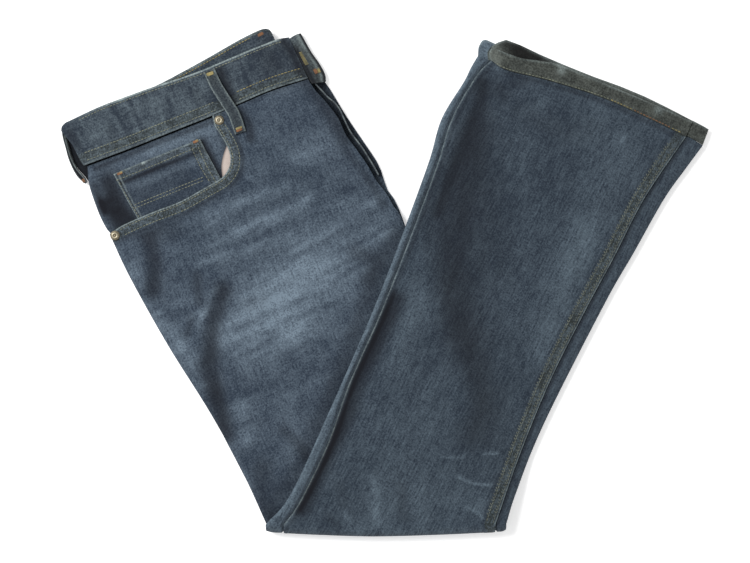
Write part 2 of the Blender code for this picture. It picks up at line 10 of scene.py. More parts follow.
import bpy
import numpy as np
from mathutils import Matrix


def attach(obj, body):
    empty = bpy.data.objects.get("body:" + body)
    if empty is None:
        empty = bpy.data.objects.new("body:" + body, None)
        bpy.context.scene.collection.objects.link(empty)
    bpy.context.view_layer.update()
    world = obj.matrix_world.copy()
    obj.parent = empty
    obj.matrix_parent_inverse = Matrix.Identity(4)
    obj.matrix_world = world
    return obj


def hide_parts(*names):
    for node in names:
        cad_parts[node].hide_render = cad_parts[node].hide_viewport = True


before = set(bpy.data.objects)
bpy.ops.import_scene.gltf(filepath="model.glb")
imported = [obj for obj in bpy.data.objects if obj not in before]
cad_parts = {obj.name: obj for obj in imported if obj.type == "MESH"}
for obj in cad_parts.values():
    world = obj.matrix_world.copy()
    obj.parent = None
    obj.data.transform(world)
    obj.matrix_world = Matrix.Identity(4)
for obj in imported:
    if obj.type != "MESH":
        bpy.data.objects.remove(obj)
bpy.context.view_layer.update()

MM = 0.001
LAY_MIDDLE = (385.5, 283.0)
TAU = 2 * math.pi
SHARP_ANGLE = math.radians(55)

# Thicknesses and heights of the stack, in millimetres, as in the part's source.
CLOTH = 1.5
LIGHT_CLOTH = 1.2
SEAM_GAP = 0.3
STACK = 9.0
HIDDEN_GAP = 0.9
FOLD_CLEARANCE = 1.0
FOLD_HEIGHT = STACK + FOLD_CLEARANCE / 2
LEG_BASE = STACK + FOLD_CLEARANCE
WAIST_RISE = 4.4
THIGH_PUFF = 5.0
LEG_PUFF = 4.5
PUFF_WIDTH = 75.0
FOLD_FADE = 90.0
EDGE_CURL = 2.0
EDGE_WIDTH = 7.0
LEG_EDGE_CURL = 1.5
UNDER_CURL = 0.8
DRAPE_WIDTH = 52.0
BAND_THICK = 2.6
BAND_PROUD = 0.8
BAND_TOP = STACK + WAIST_RISE + BAND_PROUD
BACK_BAND_HEIGHT = 6.6
HEM_THICK = 2.4
HEM_PROUD = 0.7
HEM_CLEARANCE = 5.0
MOUTH_RISE = 3.0
LOOP_THICK = 1.8
LOOP_WIDTH = 11.7
LOOP_BOW = 2.4
RIVET_RADIUS = 4.7
SHARES = np.array([0, 0.012, 0.03, 0.07, 0.14, 0.24, 0.36, 0.5, 0.64, 0.76, 0.86, 0.93, 0.97, 0.988, 1])

# Outlines of the lay, in millimetres (x, y), as in the part's source.
WAIST_TOP = [
    (61.4, 131.5), (62, 127.4), (65.4, 123.6), (71.5, 120.6), (99.4, 107.5), (125, 97.8), (150.6, 88.5),
    (188, 76), (206, 69.3), (222, 62.4), (239, 55.3), (258, 47.4), (277, 40.2), (289, 38),
]
WAIST_SEAM = [(84, 166), (130, 149), (170, 133), (215, 115), (270, 91), (308, 79)]
BAND_LEFT = [(61.4, 131.5), (67, 138.5), (72.5, 145.5), (77, 154), (80.5, 161), (84, 166)]
BAND_RIGHT = [(289, 38), (294, 49), (302, 66), (308, 79)]
BACK_TOP = [
    (92, 113), (110, 104.5), (153, 86.5), (182, 71.5), (208, 57.2), (239, 39.5), (258, 30.2), (265, 28.2),
    (269.4, 29.4), (272, 33),
]
BACK_BOTTOM = [
    (106, 150), (126, 142), (168, 125), (196, 111), (222, 99), (252, 82), (271, 74), (288, 66),
]
END_LEFT = [(290, 38.5), (296, 51), (303, 66), (309.5, 78), (313, 83.4)]
END_RIGHT = [(300, 32.5), (310, 50.5), (318.6, 63), (324, 73.5), (325, 81)]
THIGH_SIDE = [
    (84, 166), (86, 184), (94.5, 208), (101, 223), (109, 234), (129, 277), (167, 345), (210, 414),
    (244.5, 478), (266, 524),
]
THIGH_RIGHT = [
    (309, 79), (325, 84), (346, 111), (363, 142), (381, 168), (390, 192), (406, 222), (455, 372), (503, 523),
]
RIGHT_FLY = [
    (308, 79.5), (315, 90), (325, 101), (338, 118), (346, 135), (357, 150), (368, 166), (376, 180),
    (385.5, 192), (393, 205), (407.5, 233), (455, 376), (503, 523),
]
LEFT_FLY = [
    (316.2, 84.4), (322.5, 91), (328.3, 97.2), (334.6, 102.4), (340, 109.5), (343.8, 118), (350.5, 131.5),
    (363, 148.5), (373.2, 165), (378.6, 174.6),
]
UNDER_LEFT = [
    (86.5, 168), (88.5, 184), (96.5, 208), (104, 224), (111.5, 236), (131.5, 277), (169.5, 345), (212.5, 414),
    (242, 465), (284, 524),
]
UNDER_RIGHT = [
    (324.3, 80.2), (329.8, 88), (337.4, 100.6), (345, 113.2), (354.4, 127.5), (364.6, 142.5), (374.5, 157),
    (380.5, 168), (388, 190), (403.5, 220), (452, 372), (481, 470), (495, 523),
]
HIDDEN_LEFT = [
    (67, 131), (67.4, 137), (70, 147), (73.4, 158), (78.5, 168), (86.4, 177), (92.6, 187), (99.5, 208),
    (108.5, 226), (115, 237), (134, 277), (172, 345), (215, 414), (248.5, 475), (271, 524),
]
HIDDEN_RIGHT = [
    (287, 50), (304, 80), (321, 101), (334, 118), (342, 135), (353, 150), (364, 166), (373, 182),
    (386, 204), (400, 230), (450, 376), (498, 523),
]
HIDDEN_TOP = [(67, 131), (110, 110), (169, 89.5), (205, 76), (241, 60.5), (277, 48), (287, 48)]
FOLD_LINE = [(266, 524), (320, 525.8), (375, 527.3), (440, 525.6), (503, 523)]
LEG_LEFT = [
    (266, 524), (290.7, 494), (328, 414), (369, 320), (389, 270), (407, 222), (429.5, 160), (442, 118),
    (464, 81.5), (471, 67.5), (477.8, 55.8),
]
LOWER_LEFT = [
    (270, 524), (294.7, 494), (332, 414), (373, 320), (393, 270), (411, 222), (432.5, 160), (445, 117.5),
    (467.5, 81.5), (474.5, 67.5), (480.5, 56.5),
]
LEG_RIGHT = [
    (506, 523), (516, 493), (547, 419), (605.4, 304), (634.5, 253), (665, 199), (687, 168), (704, 145),
]
OUTSEAM = [
    (284, 524), (301, 499), (329, 440), (349, 383.5), (380, 313.5), (409, 240), (437, 165), (452, 118),
    (476, 76), (491, 60),
]
INSEAM = [
    (495, 523), (513.7, 471), (549.6, 383), (585.5, 311), (614, 258), (645, 198), (686.5, 136.5),
]
OUTER_FOLD = [OUTSEAM[0]] + FOLD_LINE[1:4] + [INSEAM[0]]
HEM_SEAM = [(491, 60), (507, 70), (549, 80.5), (601, 97), (646, 117), (686.5, 136.5)]
HEM_LINE = [(477, 55.6), (491, 59), (507, 70), (549, 80.5), (601, 97), (646, 117), (704, 145)]
HEM_FRONT_EDGE = [
    (499, 50), (510, 54.6), (523, 59), (542, 61.6), (560, 65.2), (611, 86), (654, 104), (693, 122),
]
HEM_END = [(500, 67), (491, 60), (489.6, 52), (493, 48)]
HEM_BACK_EDGE = [(491, 47), (499, 42), (510, 40.3), (542, 55), (586, 73.4), (642, 94.8), (710, 129.3)]
HEM_RIGHT_EDGE = [
    (479.2, 46), (481.5, 41), (486, 38.3), (497, 43), (530, 57), (600, 86), (660, 112), (698, 130),
]
HEM_RIGHT_SEAM = [(478.4, 54.2), (491, 59.5), (507, 69), (549, 80.5), (601, 97), (646, 117), (698, 142)]
SCOOP = [
    (212.5, 116), (215, 126), (220, 134), (227, 146), (230.4, 156), (229.6, 167), (222, 178), (205, 188),
    (180, 202), (153.6, 212), (124, 224.6), (109, 234),
]
FACING_TOP = [(87, 166), (130, 150), (170, 134), (215, 116), (240, 105)]
FACING_LEFT = [(87, 166), (88.4, 184), (95.6, 207), (103, 224), (110, 233.5), (122, 239)]
FACING_RIGHT = [(240, 105), (247, 135), (247, 165), (238, 192)]
FACING_BOTTOM = [(122, 239), (160, 227), (204, 212), (238, 192)]
COIN_TOP = [(113.4, 174), (156, 156.5), (200, 139)]
COIN_LEFT = [(113.4, 174), (128, 202), (143, 228)]
COIN_RIGHT = [(200, 139), (211, 160), (226, 188)]
COIN_BOTTOM = [(143, 228), (186, 210), (226, 188)]
BAG_LEFT = [(226.5, 146), (222.8, 157), (221.5, 167), (222.5, 178)]
BAG_RIGHT = [(238, 143), (241, 160), (237, 178)]
LOOP_OUTER = [
    (61.6, 127), (61.6, 133), (62.7, 139), (64.9, 147), (67.9, 158), (72.3, 168.6), (77.5, 177), (84, 183.2),
]
LOOP_INNER = [
    (64.6, 127), (65.2, 137), (67.8, 147), (71.2, 158), (76.2, 168), (81, 173.8), (84, 177.5), (86, 181.4),
]
SIDE_LOOP_TOP = 11.2
FRONT_LOOP = [(209.5, 71), (217, 87), (226.5, 102), (234.5, 115), (240.8, 133)]
POCKET_MIDDLE = (160, 175)
POCKET_REACH = (105.0, 70.0)
RIVETS = {"rivet_waist": (219.4, 120.5), "rivet_side": (114.8, 235.5)}

# Soft folds placed one by one: line, half width and height, in millimetres. Below 0 is a trough.
THIGH_CREASES = [
    ([(146, 240), (154, 264), (152, 292)], 8, -2.0),
    ([(168, 238), (172, 262), (168, 285)], 8, 0.9),
    ([(198, 272), (200, 303)], 5, -0.9),
    ([(223, 288), (216, 316), (211, 346), (212, 378), (217, 404), (224, 434)], 8, -2.2),
    ([(206, 300), (199, 330), (192, 352)], 6, 0.7),
    ([(240, 400), (244, 422), (247, 444)], 10, 1.1),
    ([(262, 425), (270, 445), (275, 465)], 7, -0.7),
    ([(205, 247), (250, 228), (310, 201)], 6, 0.6),
    ([(196, 265), (255, 247), (292, 238)], 5, 0.4),
    ([(214, 216), (262, 197), (288, 186)], 5, 0.5),
    ([(300, 249), (350, 222), (374, 204)], 6, 0.6),
    ([(310, 273), (350, 258), (388, 233)], 7, 0.6),
    ([(245, 297), (285, 276), (312, 262)], 6, 0.5),
    ([(240, 262), (290, 250), (330, 243)], 5, -0.4),
    ([(234, 155), (250, 178), (264, 190)], 4, 0.6),
    ([(243, 148), (262, 172)], 4, -0.5),
    ([(286, 430), (300, 446), (307, 458)], 5, -0.9),
    ([(250, 478), (270, 470), (290, 474)], 7, -0.6),
    ([(252, 108), (275, 99), (300, 93)], 4, 0.6),
    ([(345, 350), (356, 330)], 6, -0.8),
]
LEG_CREASES = [
    ([(486, 88), (476, 112), (464, 148), (450, 190)], 9, -2.1),
    ([(450, 190), (438, 215), (430, 250)], 9, -1.4),
    ([(455, 128), (447, 158)], 6, 0.9),
    ([(505, 72), (500, 92), (492, 106)], 6, -0.8),
    ([(486, 66), (478, 84)], 5, 0.6),
    ([(452, 240), (455, 300), (462, 335), (480, 370), (486, 402), (478, 436)], 16, -2.3),
    ([(410, 285), (402, 335), (398, 360)], 12, 0.8),
    ([(394, 303), (372, 352), (356, 392), (338, 440), (312, 490)], 8, -1.5),
    ([(505, 300), (500, 360), (506, 410)], 14, 0.7),
    ([(372, 470), (377, 520)], 6, 0.7),
    ([(400, 478), (402, 518)], 7, -0.7),
    ([(346, 500), (351, 524)], 5, 0.6),
    ([(420, 480), (424, 518)], 7, 0.6),
    ([(445, 452), (470, 455), (494, 452)], 4, 0.5),
    ([(452, 474), (472, 482), (492, 484)], 4, 0.5),
    ([(466, 504), (482, 516)], 4, 0.5),
    ([(560, 130), (590, 140)], 12, -0.6),
    ([(600, 180), (570, 250), (548, 310)], 14, 0.7),
]

# Wear of the cloth, and shade painted into its colour: line, half width and strength.
THIGH_WEAR = [
    ([(262, 300), (298, 292), (330, 280)], 20, 0.42),
    ([(225, 336), (258, 326), (292, 314)], 15, 0.34),
    ([(280, 262), (300, 300), (275, 325)], 45, 0.26),
    ([(205, 246), (250, 228), (310, 201)], 6, 0.30),
    ([(196, 263), (255, 247), (292, 238)], 6, 0.20),
    ([(214, 216), (262, 197), (288, 186)], 6, 0.26),
    ([(300, 248), (350, 222), (374, 204)], 6, 0.32),
    ([(310, 273), (350, 258), (388, 233)], 7, 0.34),
    ([(245, 296), (285, 276), (312, 262)], 6, 0.26),
    ([(296, 160), (312, 150), (330, 142)], 8, 0.20),
    ([(212, 222), (235, 226)], 8, 0.22),
    ([(236, 158), (250, 178), (264, 190)], 4, 0.24),
    ([(240, 352), (272, 340), (304, 324)], 9, 0.22),
    ([(241, 408), (244, 424), (246, 440)], 9, 0.26),
    ([(286, 392), (300, 432)], 14, 0.14),
    ([(292, 452), (294, 470)], 12, 0.16),
    ([(168, 328), (188, 358), (204, 384)], 8, 0.34),
    ([(134, 268), (148, 298), (164, 328)], 6, 0.28),
    ([(200, 326), (206, 306), (216, 288)], 4, 0.34),
    ([(180, 256), (176, 290), (190, 310)], 12, 0.16),
    ([(330, 190), (370, 240)], 30, 0.12),
    ([(240, 92), (275, 92), (302, 84)], 3, 0.20),
]
# Painted shade on the thigh: in creases, beside the lower leg's edge, under the band, by the fly and right of
# the belt loop.
THIGH_SHADE = [
    ([(148, 238), (155, 264), (152, 292)], 8, 0.85),
    ([(158, 234), (176, 230)], 9, 0.30),
    ([(197, 276), (200, 302)], 5, 0.42),
    ([(223, 290), (216, 316), (211, 347), (212, 378), (217, 404), (225, 436)], 8, 0.95),
    ([(192, 318), (187, 334)], 4, 0.34),
    ([(202, 366), (212, 392), (228, 428)], 8, 0.30),
    ([(398, 232), (376, 275), (352, 342), (330, 396), (308, 446), (290, 482), (270, 512)], 9, 0.38),
    ([(250, 100), (275, 90), (303, 82)], 4, 0.34),
    ([(310, 84), (320, 97), (332, 112), (346, 138)], 9, 0.62),
    ([(348, 152), (364, 172), (384, 204)], 5, 0.34),
    ([(284, 430), (298, 444), (306, 456)], 6, 0.32),
    ([(356, 252), (374, 262), (368, 280)], 8, 0.36),
    ([(262, 470), (262, 500), (268, 516)], 10, 0.42),
    ([(241, 112), (248, 126), (250, 138)], 5, 0.80),
    ([(236, 136), (242, 170), (232, 186)], 4, 0.30),
    ([(210, 135), (216, 143)], 3, 0.30),
    ([(252, 305), (262, 300)], 8, 0.16),
    ([(100, 232), (136, 236), (176, 220), (218, 196)], 4, 0.22),
]
# Painted shade on the band: the belt loop's shadow, the gap at its right end and the side loop's hollow.
BAND_SHADE = [
    ([(220, 71), (229, 92), (239, 110)], 5, 0.85),
    ([(268, 52), (276, 70)], 12, 0.34),
    ([(284, 42), (293, 54), (303, 76)], 6, 0.75),
    ([(70, 132), (78, 148)], 5, 0.40),
    ([(110, 130), (118, 148)], 6, 0.18),
    ([(196, 90), (200, 100)], 5, 0.20),
]
# Painted shade in the pocket mouth: beside the coin pocket and under the waistband.
FACING_SHADE = [
    ([(108, 182), (120, 205), (134, 224)], 13, 0.85),
    ([(202, 142), (214, 164), (224, 180)], 5, 0.95),
    ([(95, 168), (130, 154), (175, 136), (214, 121)], 3, 0.55),
    ([(104, 205), (118, 228)], 9, 0.60),
    ([(93, 186), (103, 212)], 4, 0.40),
    ([(224, 130), (228, 150)], 6, 0.40),
]
LEG_WEAR = [
    ([(582, 236), (560, 300), (541, 352)], 16, 0.24),
    ([(600, 130), (622, 160), (604, 215)], 26, 0.10),
    ([(416, 296), (405, 330), (398, 362)], 14, 0.12),
    ([(432, 418), (402, 460), (380, 505)], 34, 0.10),
    ([(440, 494), (475, 502)], 26, 0.12),
    ([(374, 478), (377, 522)], 5, 0.24),
    ([(345, 512), (351, 526)], 4, 0.22),
    ([(416, 488), (420, 520)], 7, 0.14),
    ([(484, 453), (497, 452.5)], 1.4, 0.45),
    ([(456, 475), (472, 482), (491, 484.5)], 1.4, 0.40),
    ([(467, 505), (475, 510), (483, 517)], 1.4, 0.36),
    ([(440, 456), (462, 456)], 2, 0.22),
    ([(628, 130), (616, 153)], 0.9, 0.34),
    ([(596, 220), (584, 256)], 0.9, 0.26),
    ([(503, 60), (498, 66)], 5, 0.20),
    ([(452, 128), (442, 160)], 5, 0.22),
    ([(300, 506), (290, 522)], 4, 0.14),
    ([(520, 500), (506, 516)], 30, 0.06),
]
# Painted shade on the lower leg: in its creases, where it drapes over the thigh's edge, beside the outseam
# and under the hem.
LEG_SHADE = [
    ([(484, 84), (479, 104), (470, 128), (461, 152), (450, 182), (438, 212)], 6, 0.75),
    ([(492, 88), (476, 126), (458, 176)], 14, 0.34),
    ([(478, 130), (462, 190), (452, 244), (456, 300), (462, 335), (478, 370), (485, 402), (477, 434)],
     16, 0.52),
    ([(480, 160), (466, 250), (474, 330)], 30, 0.26),
    ([(396, 300), (376, 343), (358, 380), (349, 408), (334, 440), (318, 474), (302, 506)], 8, 1.25),
    ([(512, 84), (524, 82)], 6, 0.34),
    ([(500, 88), (504, 96)], 6, 0.26),
    ([(402, 486), (404, 516)], 6, 0.26),
    ([(340, 484), (344, 506)], 6, 0.20),
    ([(520, 110), (560, 130), (590, 128)], 12, 0.16),
    ([(470, 200), (500, 260)], 24, 0.12),
    ([(496, 480), (488, 512)], 6, 0.20),
    ([(330, 516), (336, 524)], 5, 0.22),
    ([(507, 73), (549, 84), (601, 100.5), (646, 120.5), (680, 138)], 2.2, 0.42),
]

# The camera, in millimetres: the place of the lay under it, its height, its lens and its sensor.
FRAME_MIDDLE = (375.0, 281.5)
CAMERA_HEIGHT = 1574.5
LENS = 75.0
SENSOR = 36.0

# Sewing, in millimetres: from one stitch to the next, a stitch's length, how far it strays, and its thread.
STITCH_PITCH = 3.4
STITCH_LENGTH = 2.5
STITCH_WANDER = 0.12
THREAD_WIDTH = 0.85
THREAD_HEIGHT = 0.55

# The names of a cloth's masks, and how many rows some of the grids have.
# The shade mask is shade painted into the cloth's colour.
MASKS = ("wear", "shade", "olive", "pale")
THIGH_ROWS = 46
LEG_ROWS = 280
HIDDEN_ROWS = 110
BAND_ROWS = 44
END_ROWS = 56
HEM_ROWS = 22


def smooth(value):
    """0 below 0, 1 above 1, and an S-curve between them."""
    value = np.clip(value, 0.0, 1.0)
    return value * value * (3.0 - 2.0 * value)


def bell(value, width):
    """1 at 0, falling away on both sides."""
    return np.exp(-((value / width) ** 2))


def xy(places):
    """The x and the y of each place."""
    return places[..., 0], places[..., 1]


def spline(points, steps=16):
    """A fine line through the points, with tangents taken from each point's neighbours."""
    points = np.array(points, float)
    padded = np.vstack([2 * points[0] - points[1], points, 2 * points[-1] - points[-2]])
    slopes = (padded[2:] - padded[:-2]) / 2
    step = (np.arange(steps) / steps)[:, None]
    square, cube = step**2, step**3
    line = (2 * cube - 3 * square + 1) * points[:-1, None] + (cube - 2 * square + step) * slopes[:-1, None]
    line = line + (3 * square - 2 * cube) * points[1:, None] + (cube - square) * slopes[1:, None]
    return np.vstack([line.reshape(-1, 2), points[-1:]])


def lengths(line):
    """How far along its line each point lies."""
    return np.concatenate([[0], np.cumsum(np.linalg.norm(np.diff(line, axis=0), axis=1))])


def on_line(line, where):
    """The line's x and y at each length along it."""
    return [np.interp(where, lengths(line), line[:, axis]) for axis in (0, 1)]


def along(points, shares):
    """A curve's points at the given shares of its length, or as many as asked for, evenly spaced."""
    if isinstance(points, np.ndarray):
        return points
    line = spline(points)
    shares = np.linspace(0, 1, shares) if isinstance(shares, int) else shares
    return np.stack(on_line(line, shares * lengths(line)[-1]), axis=-1)


def x_at(points, y):
    """The curve's x at each y, for a curve that y orders."""
    line = spline(points)
    line = line[np.argsort(line[:, 1])]
    return np.interp(y, line[:, 1], line[:, 0])


def y_at(points, x):
    """The curve's y at each x."""
    return x_at([(y, x_) for x_, y in points], x)


def patch(left, right, start, end, rows, shares):
    """A grid of places (rows, columns, 2) inside four edges, blended so that it meets each of them."""
    shares = np.linspace(0, 1, shares) if isinstance(shares, int) else shares
    left, right = along(left, rows)[:, None], along(right, rows)[:, None]
    start, end = along(start, shares)[None], along(end, shares)[None]
    across, down = shares[None, :, None], np.linspace(0, 1, len(left))[:, None, None]
    ruled = (1 - across) * left + across * right + (1 - down) * start + down * end
    corners = (
        (1 - across) * (1 - down) * start[:, :1] + across * (1 - down) * start[:, -1:]
        + (1 - across) * down * end[:, :1] + across * down * end[:, -1:]
    )
    return ruled - corners


def fine(count, edge=0.65):
    """Shares from 0 to 1 that lie closer together at both ends."""
    even = np.linspace(0, 1, count)
    return even - edge * np.sin(TAU * even) / TAU


def near(points, x, y, steps=5):
    """How far each place lies from a curve."""
    line = spline(points, steps)
    best = np.full(np.shape(x), 1e9)
    for (x0, y0), (x1, y1) in zip(line[:-1], line[1:]):
        dx, dy = x1 - x0, y1 - y0
        share = np.clip(((x - x0) * dx + (y - y0) * dy) / (dx * dx + dy * dy), 0, 1)
        best = np.minimum(best, (x - x0 - share * dx) ** 2 + (y - y0 - share * dy) ** 2)
    return np.sqrt(best)


def strokes(table, x, y):
    """The sum of the table's soft lines at each place."""
    total = np.zeros(np.shape(x))
    for points, width, strength in table:
        spots = np.array(points)
        low, high = spots.min(axis=0) - 3 * width, spots.max(axis=0) + 3 * width
        inside = (x > low[0]) & (x < high[0]) & (y > low[1]) & (y < high[1])
        if inside.any():
            total[inside] += strength * bell(near(points, x[inside], y[inside]), width)
    return total


def ripple(x, y, size, seed):
    """Smooth unevenness from -1 to 1 made of a few crossed waves."""
    total = 0
    for step in range(5):
        angle, pitch = seed + 2.4 * step, size * (0.7 + 0.23 * step)
        total += np.sin((x * math.cos(angle) + y * math.sin(angle)) * TAU / pitch + seed * (step + 1))
    return total / 5


def turned(x, y, angle):
    """Distances along a direction of the lay, in radians, and across it."""
    return x * math.cos(angle) + y * math.sin(angle), y * math.cos(angle) - x * math.sin(angle)


def mottle(x, y, across, length, angle, seed):
    """Cloudy unevenness from about -1 to 1, in spots of one size across and another along an angle."""
    u, v = turned(x, y, math.radians(angle))
    u, v = u / length + 40, v / across + 40
    size = 160
    grid = np.random.RandomState(seed).uniform(-1, 1, (size, size))
    column, row = np.floor(u).astype(int), np.floor(v).astype(int)
    s, t = smooth(u - column), smooth(v - row)
    column, row = column % (size - 1), row % (size - 1)
    near_row = grid[row, column] * (1 - s) + grid[row, column + 1] * s
    far_row = grid[row + 1, column] * (1 - s) + grid[row + 1, column + 1] * s
    return near_row * (1 - t) + far_row * t


def below_waist(x, y):
    """How far a place lies below the waist seam, across the band."""
    (x0, y0), (x1, y1) = WAIST_SEAM[0], WAIST_SEAM[-1]
    return ((x - x0) * (y0 - y1) + (y - y0) * (x1 - x0)) / math.hypot(x1 - x0, y1 - y0)


def waist_rise(x, y):
    """How much thicker the stack is towards the waist."""
    return WAIST_RISE * (1 - smooth(below_waist(x, y) / 120.0))


def between(left, right, x, y):
    """How far each place lies from the curve on its left and from the one on its right."""
    return x - x_at(left, y), x_at(right, y) - x


def puff(left, right, x, y):
    """1 in the middle of a panel, 0 at its sides and at the bottom fold."""
    left, right = between(left, right, x, y)
    return smooth(left / PUFF_WIDTH) * smooth(right / PUFF_WIDTH) * smooth((FOLD_LINE[2][1] - y) / FOLD_FADE)


def thigh_puff(x, y):
    """How far the thigh's middle stands above its edges."""
    return THIGH_PUFF * puff(THIGH_SIDE, THIGH_RIGHT, x, y) * smooth((below_waist(x, y) + 10.0) / 110.0)


def thigh_surface(x, y):
    """Height of the CAD's thigh: thick at the waist, soft in the middle and rounded at both sides."""
    left, right = between(THIGH_SIDE, THIGH_RIGHT, x, y)
    curl = EDGE_CURL * (2 - smooth(left / EDGE_WIDTH) - smooth(right / EDGE_WIDTH))
    curl *= smooth((below_waist(x, y) + 2.0) / 14.0) * smooth((FOLD_LINE[0][1] - y) / 40.0)
    return STACK + waist_rise(x, y) + thigh_puff(x, y) - curl


def thigh_relief(x, y):
    """The soft folds on the thigh, which die out under the lower leg and at the scoop's double edge."""
    covered = smooth((x_at(LEG_LEFT, y) + 14 - x) / 14)
    mouth = near(SCOOP, x, y)
    lip = 0.35 * np.exp(-((mouth / 11.0) ** 4))
    folds = strokes(THIGH_CREASES, x, y) * (1 - bell(mouth, 8.0)) + 0.25 * ripple(x, y, 60, 1.3)
    return folds * covered * smooth((FOLD_LINE[0][1] - y) / 30) + lip


def thigh_top(x, y):
    return thigh_surface(x, y) + thigh_relief(x, y)


def leg_floor(x, y):
    """Height under the lower leg: the thigh where there is one, and then down to the table."""
    beyond = x - x_at([(312, 30)] + THIGH_RIGHT, y)
    return (LEG_BASE + thigh_puff(x, y) + waist_rise(x, y)) * (1 - smooth(beyond / DRAPE_WIDTH))


def leg_puff(x, y):
    """How far the lower leg's middle stands above its edges."""
    return LEG_PUFF * puff(LEG_LEFT, LEG_RIGHT, x, y) * smooth((y - y_at(HEM_LINE, x)) / PUFF_WIDTH)


def leg_folds(x, y):
    """The soft folds of the lower leg, which all its layers share."""
    left, right = between(OUTSEAM, INSEAM, x, y)
    edge = smooth((left - 2) / 8) * smooth((right - 12) / 8)
    edge *= smooth((y - y_at(HEM_LINE, x) - 1) / 10) * smooth((FOLD_LINE[0][1] - y) / 16)
    return (strokes(LEG_CREASES, x, y) + 0.25 * ripple(x, y, 70, 2.1)) * edge


def leg_relief(x, y):
    """What the top layer adds: its ridge along the outseam and the felled inseam."""
    inseam = near(INSEAM, x, y)
    fell = 0.45 * smooth((11.5 - inseam) / 1.6) * smooth((inseam - 0.6) / 1.2)
    pucker = 0.16 * np.sin(y * TAU / 5.5) * bell(inseam - 10.5, 3.0)
    return leg_folds(x, y) + fell + pucker + 0.4 * bell(near(OUTSEAM, x, y) - 1.6, 1.5)


def leg_curl(x, y):
    """How far the lower pair of layers turns up at the lower leg's sides."""
    left, right = between(LEG_LEFT, LEG_RIGHT, x, y)
    return LEG_EDGE_CURL * (2 - smooth((left - 4) / 8) - smooth((right - 4) / 8))


def leg_top(x, y):
    return leg_floor(x, y) + STACK + leg_puff(x, y) + leg_relief(x, y)


def at(places, heights):
    """Places on the lay and their heights, as points of the part in metres."""
    heights = np.broadcast_to(heights, places.shape[:-1])
    x, y = xy(places)
    return np.stack([(x - LAY_MIDDLE[0]) * MM, (LAY_MIDDLE[1] - y) * MM, heights * MM], axis=-1)


def round_fold(last, first, last_depth, first_depth, rows=22):
    """Rows round the bottom fold, from the thigh's last row to the lower leg's first."""
    made = []
    for share in np.linspace(0, 1, rows + 2)[1:-1]:
        radius = FOLD_HEIGHT - (last_depth + (first_depth - last_depth) * share)
        row = last + (first - last) * share
        row[:, 1] += radius * math.sin(math.pi * share)
        made.append(at(row, FOLD_HEIGHT - radius * math.cos(math.pi * share)))
    return np.array(made)


def turned_over(places, depth):
    """The lower leg's points, from each one's height in the stack before it was folded up."""
    return at(places, leg_floor(*xy(places)) + STACK - depth)


def lay_of(points):
    """The lay's x and y of points in metres."""
    return points[..., 0] / MM + LAY_MIDDLE[0], LAY_MIDDLE[1] - points[..., 1] / MM


# Meshes ------------------------------------------------------------------------------------------


def link(name, data):
    """A new object of the scene."""
    made = bpy.data.objects.new(name, data)
    bpy.context.scene.collection.objects.link(made)
    return made


def build(name, points, faces, uv=None, masks=None):
    """A mesh object from its points and its faces, with the cloth's own map and masks on its points."""
    mesh = bpy.data.meshes.new(name)
    mesh.from_pydata(points.tolist(), [], faces)
    if uv is not None:
        corners = np.empty(len(mesh.loops), dtype=np.int32)
        mesh.loops.foreach_get("vertex_index", corners)
        mesh.uv_layers.new(name="cloth").data.foreach_set("uv", uv[corners].astype(np.float32).ravel())
    for key, values in (masks or {}).items():
        layer = mesh.attributes.new(key, "FLOAT", "POINT")
        layer.data.foreach_set("value", np.asarray(values, dtype=np.float32))
    mesh.shade_smooth()
    mesh.set_sharp_from_angle(angle=SHARP_ANGLE)
    return link(name, mesh)


def cloth_map(points):
    """Each point's place on its cloth in metres: across the panel and along it, from the grid's middle."""
    steps = [np.cumsum(np.linalg.norm(np.diff(points, axis=axis), axis=-1), axis=axis) for axis in (0, 1)]
    v, u = np.pad(steps[0], ((1, 0), (0, 0))), np.pad(steps[1], ((0, 0), (1, 0)))
    return np.stack([u - u[:, points.shape[1] // 2][:, None], v], axis=-1)


def grain(points, angle):
    """Each point's place on a panel whose warp runs at an angle from the lay's y axis, in degrees."""
    cos, sin = math.cos(math.radians(angle)), math.sin(math.radians(angle))
    x, y, z = np.moveaxis(points, -1, 0)
    return np.stack([x * cos - y * sin, x * sin + y * cos - 0.7 * z], axis=-1)


def shell(name, upper, lower, masks, warp):
    """A closed sheet of cloth between two grids of points (rows, columns, 3)."""
    rows, columns = upper.shape[:2]
    number = np.arange(rows * columns).reshape(rows, columns)
    shift = rows * columns
    top = np.stack([number[:-1, :-1], number[:-1, 1:], number[1:, 1:], number[1:, :-1]], axis=-1)
    top = top.reshape(-1, 4)
    base = top[:, [0, 3, 2, 1]] + shift
    rim = np.concatenate([number[0, :-1], number[:-1, -1], number[-1, :0:-1], number[:0:-1, 0]])
    after = np.roll(rim, -1)
    faces = np.concatenate([top, base, np.stack([rim, rim + shift, after + shift, after], axis=-1)])
    points = np.concatenate([upper.reshape(-1, 3), lower.reshape(-1, 3)])
    first, second, third, fourth = (points[faces[:, corner]] for corner in range(4))
    volume = (first * (np.cross(second, third) + np.cross(third, fourth))).sum()
    if volume < 0:
        faces = faces[:, ::-1]
    uv = (cloth_map(upper) if warp is None else grain(upper, warp)).reshape(-1, 2)
    doubled = {key: np.tile(value.ravel(), 2) for key, value in zip(MASKS, masks)}
    return build(name, points, faces.tolist(), np.concatenate([uv, uv]), doubled)


def rings(count, sides, first=0, flipped=False):
    """Faces of a closed tube of rings, each of as many points as there are sides."""
    faces = []
    for low in range(first, first + (count - 1) * sides, sides):
        for step in range(sides):
            after = (step + 1) % sides
            face = (low + step, low + after, low + sides + after, low + sides + step)
            faces.append(face[:1] + face[:0:-1] if flipped else face)
    turn = 1 if flipped else -1
    start, end = range(first, first + sides), range(first + (count - 1) * sides, first + count * sides)
    return faces + [tuple(start[::turn]), tuple(end[::-turn])]


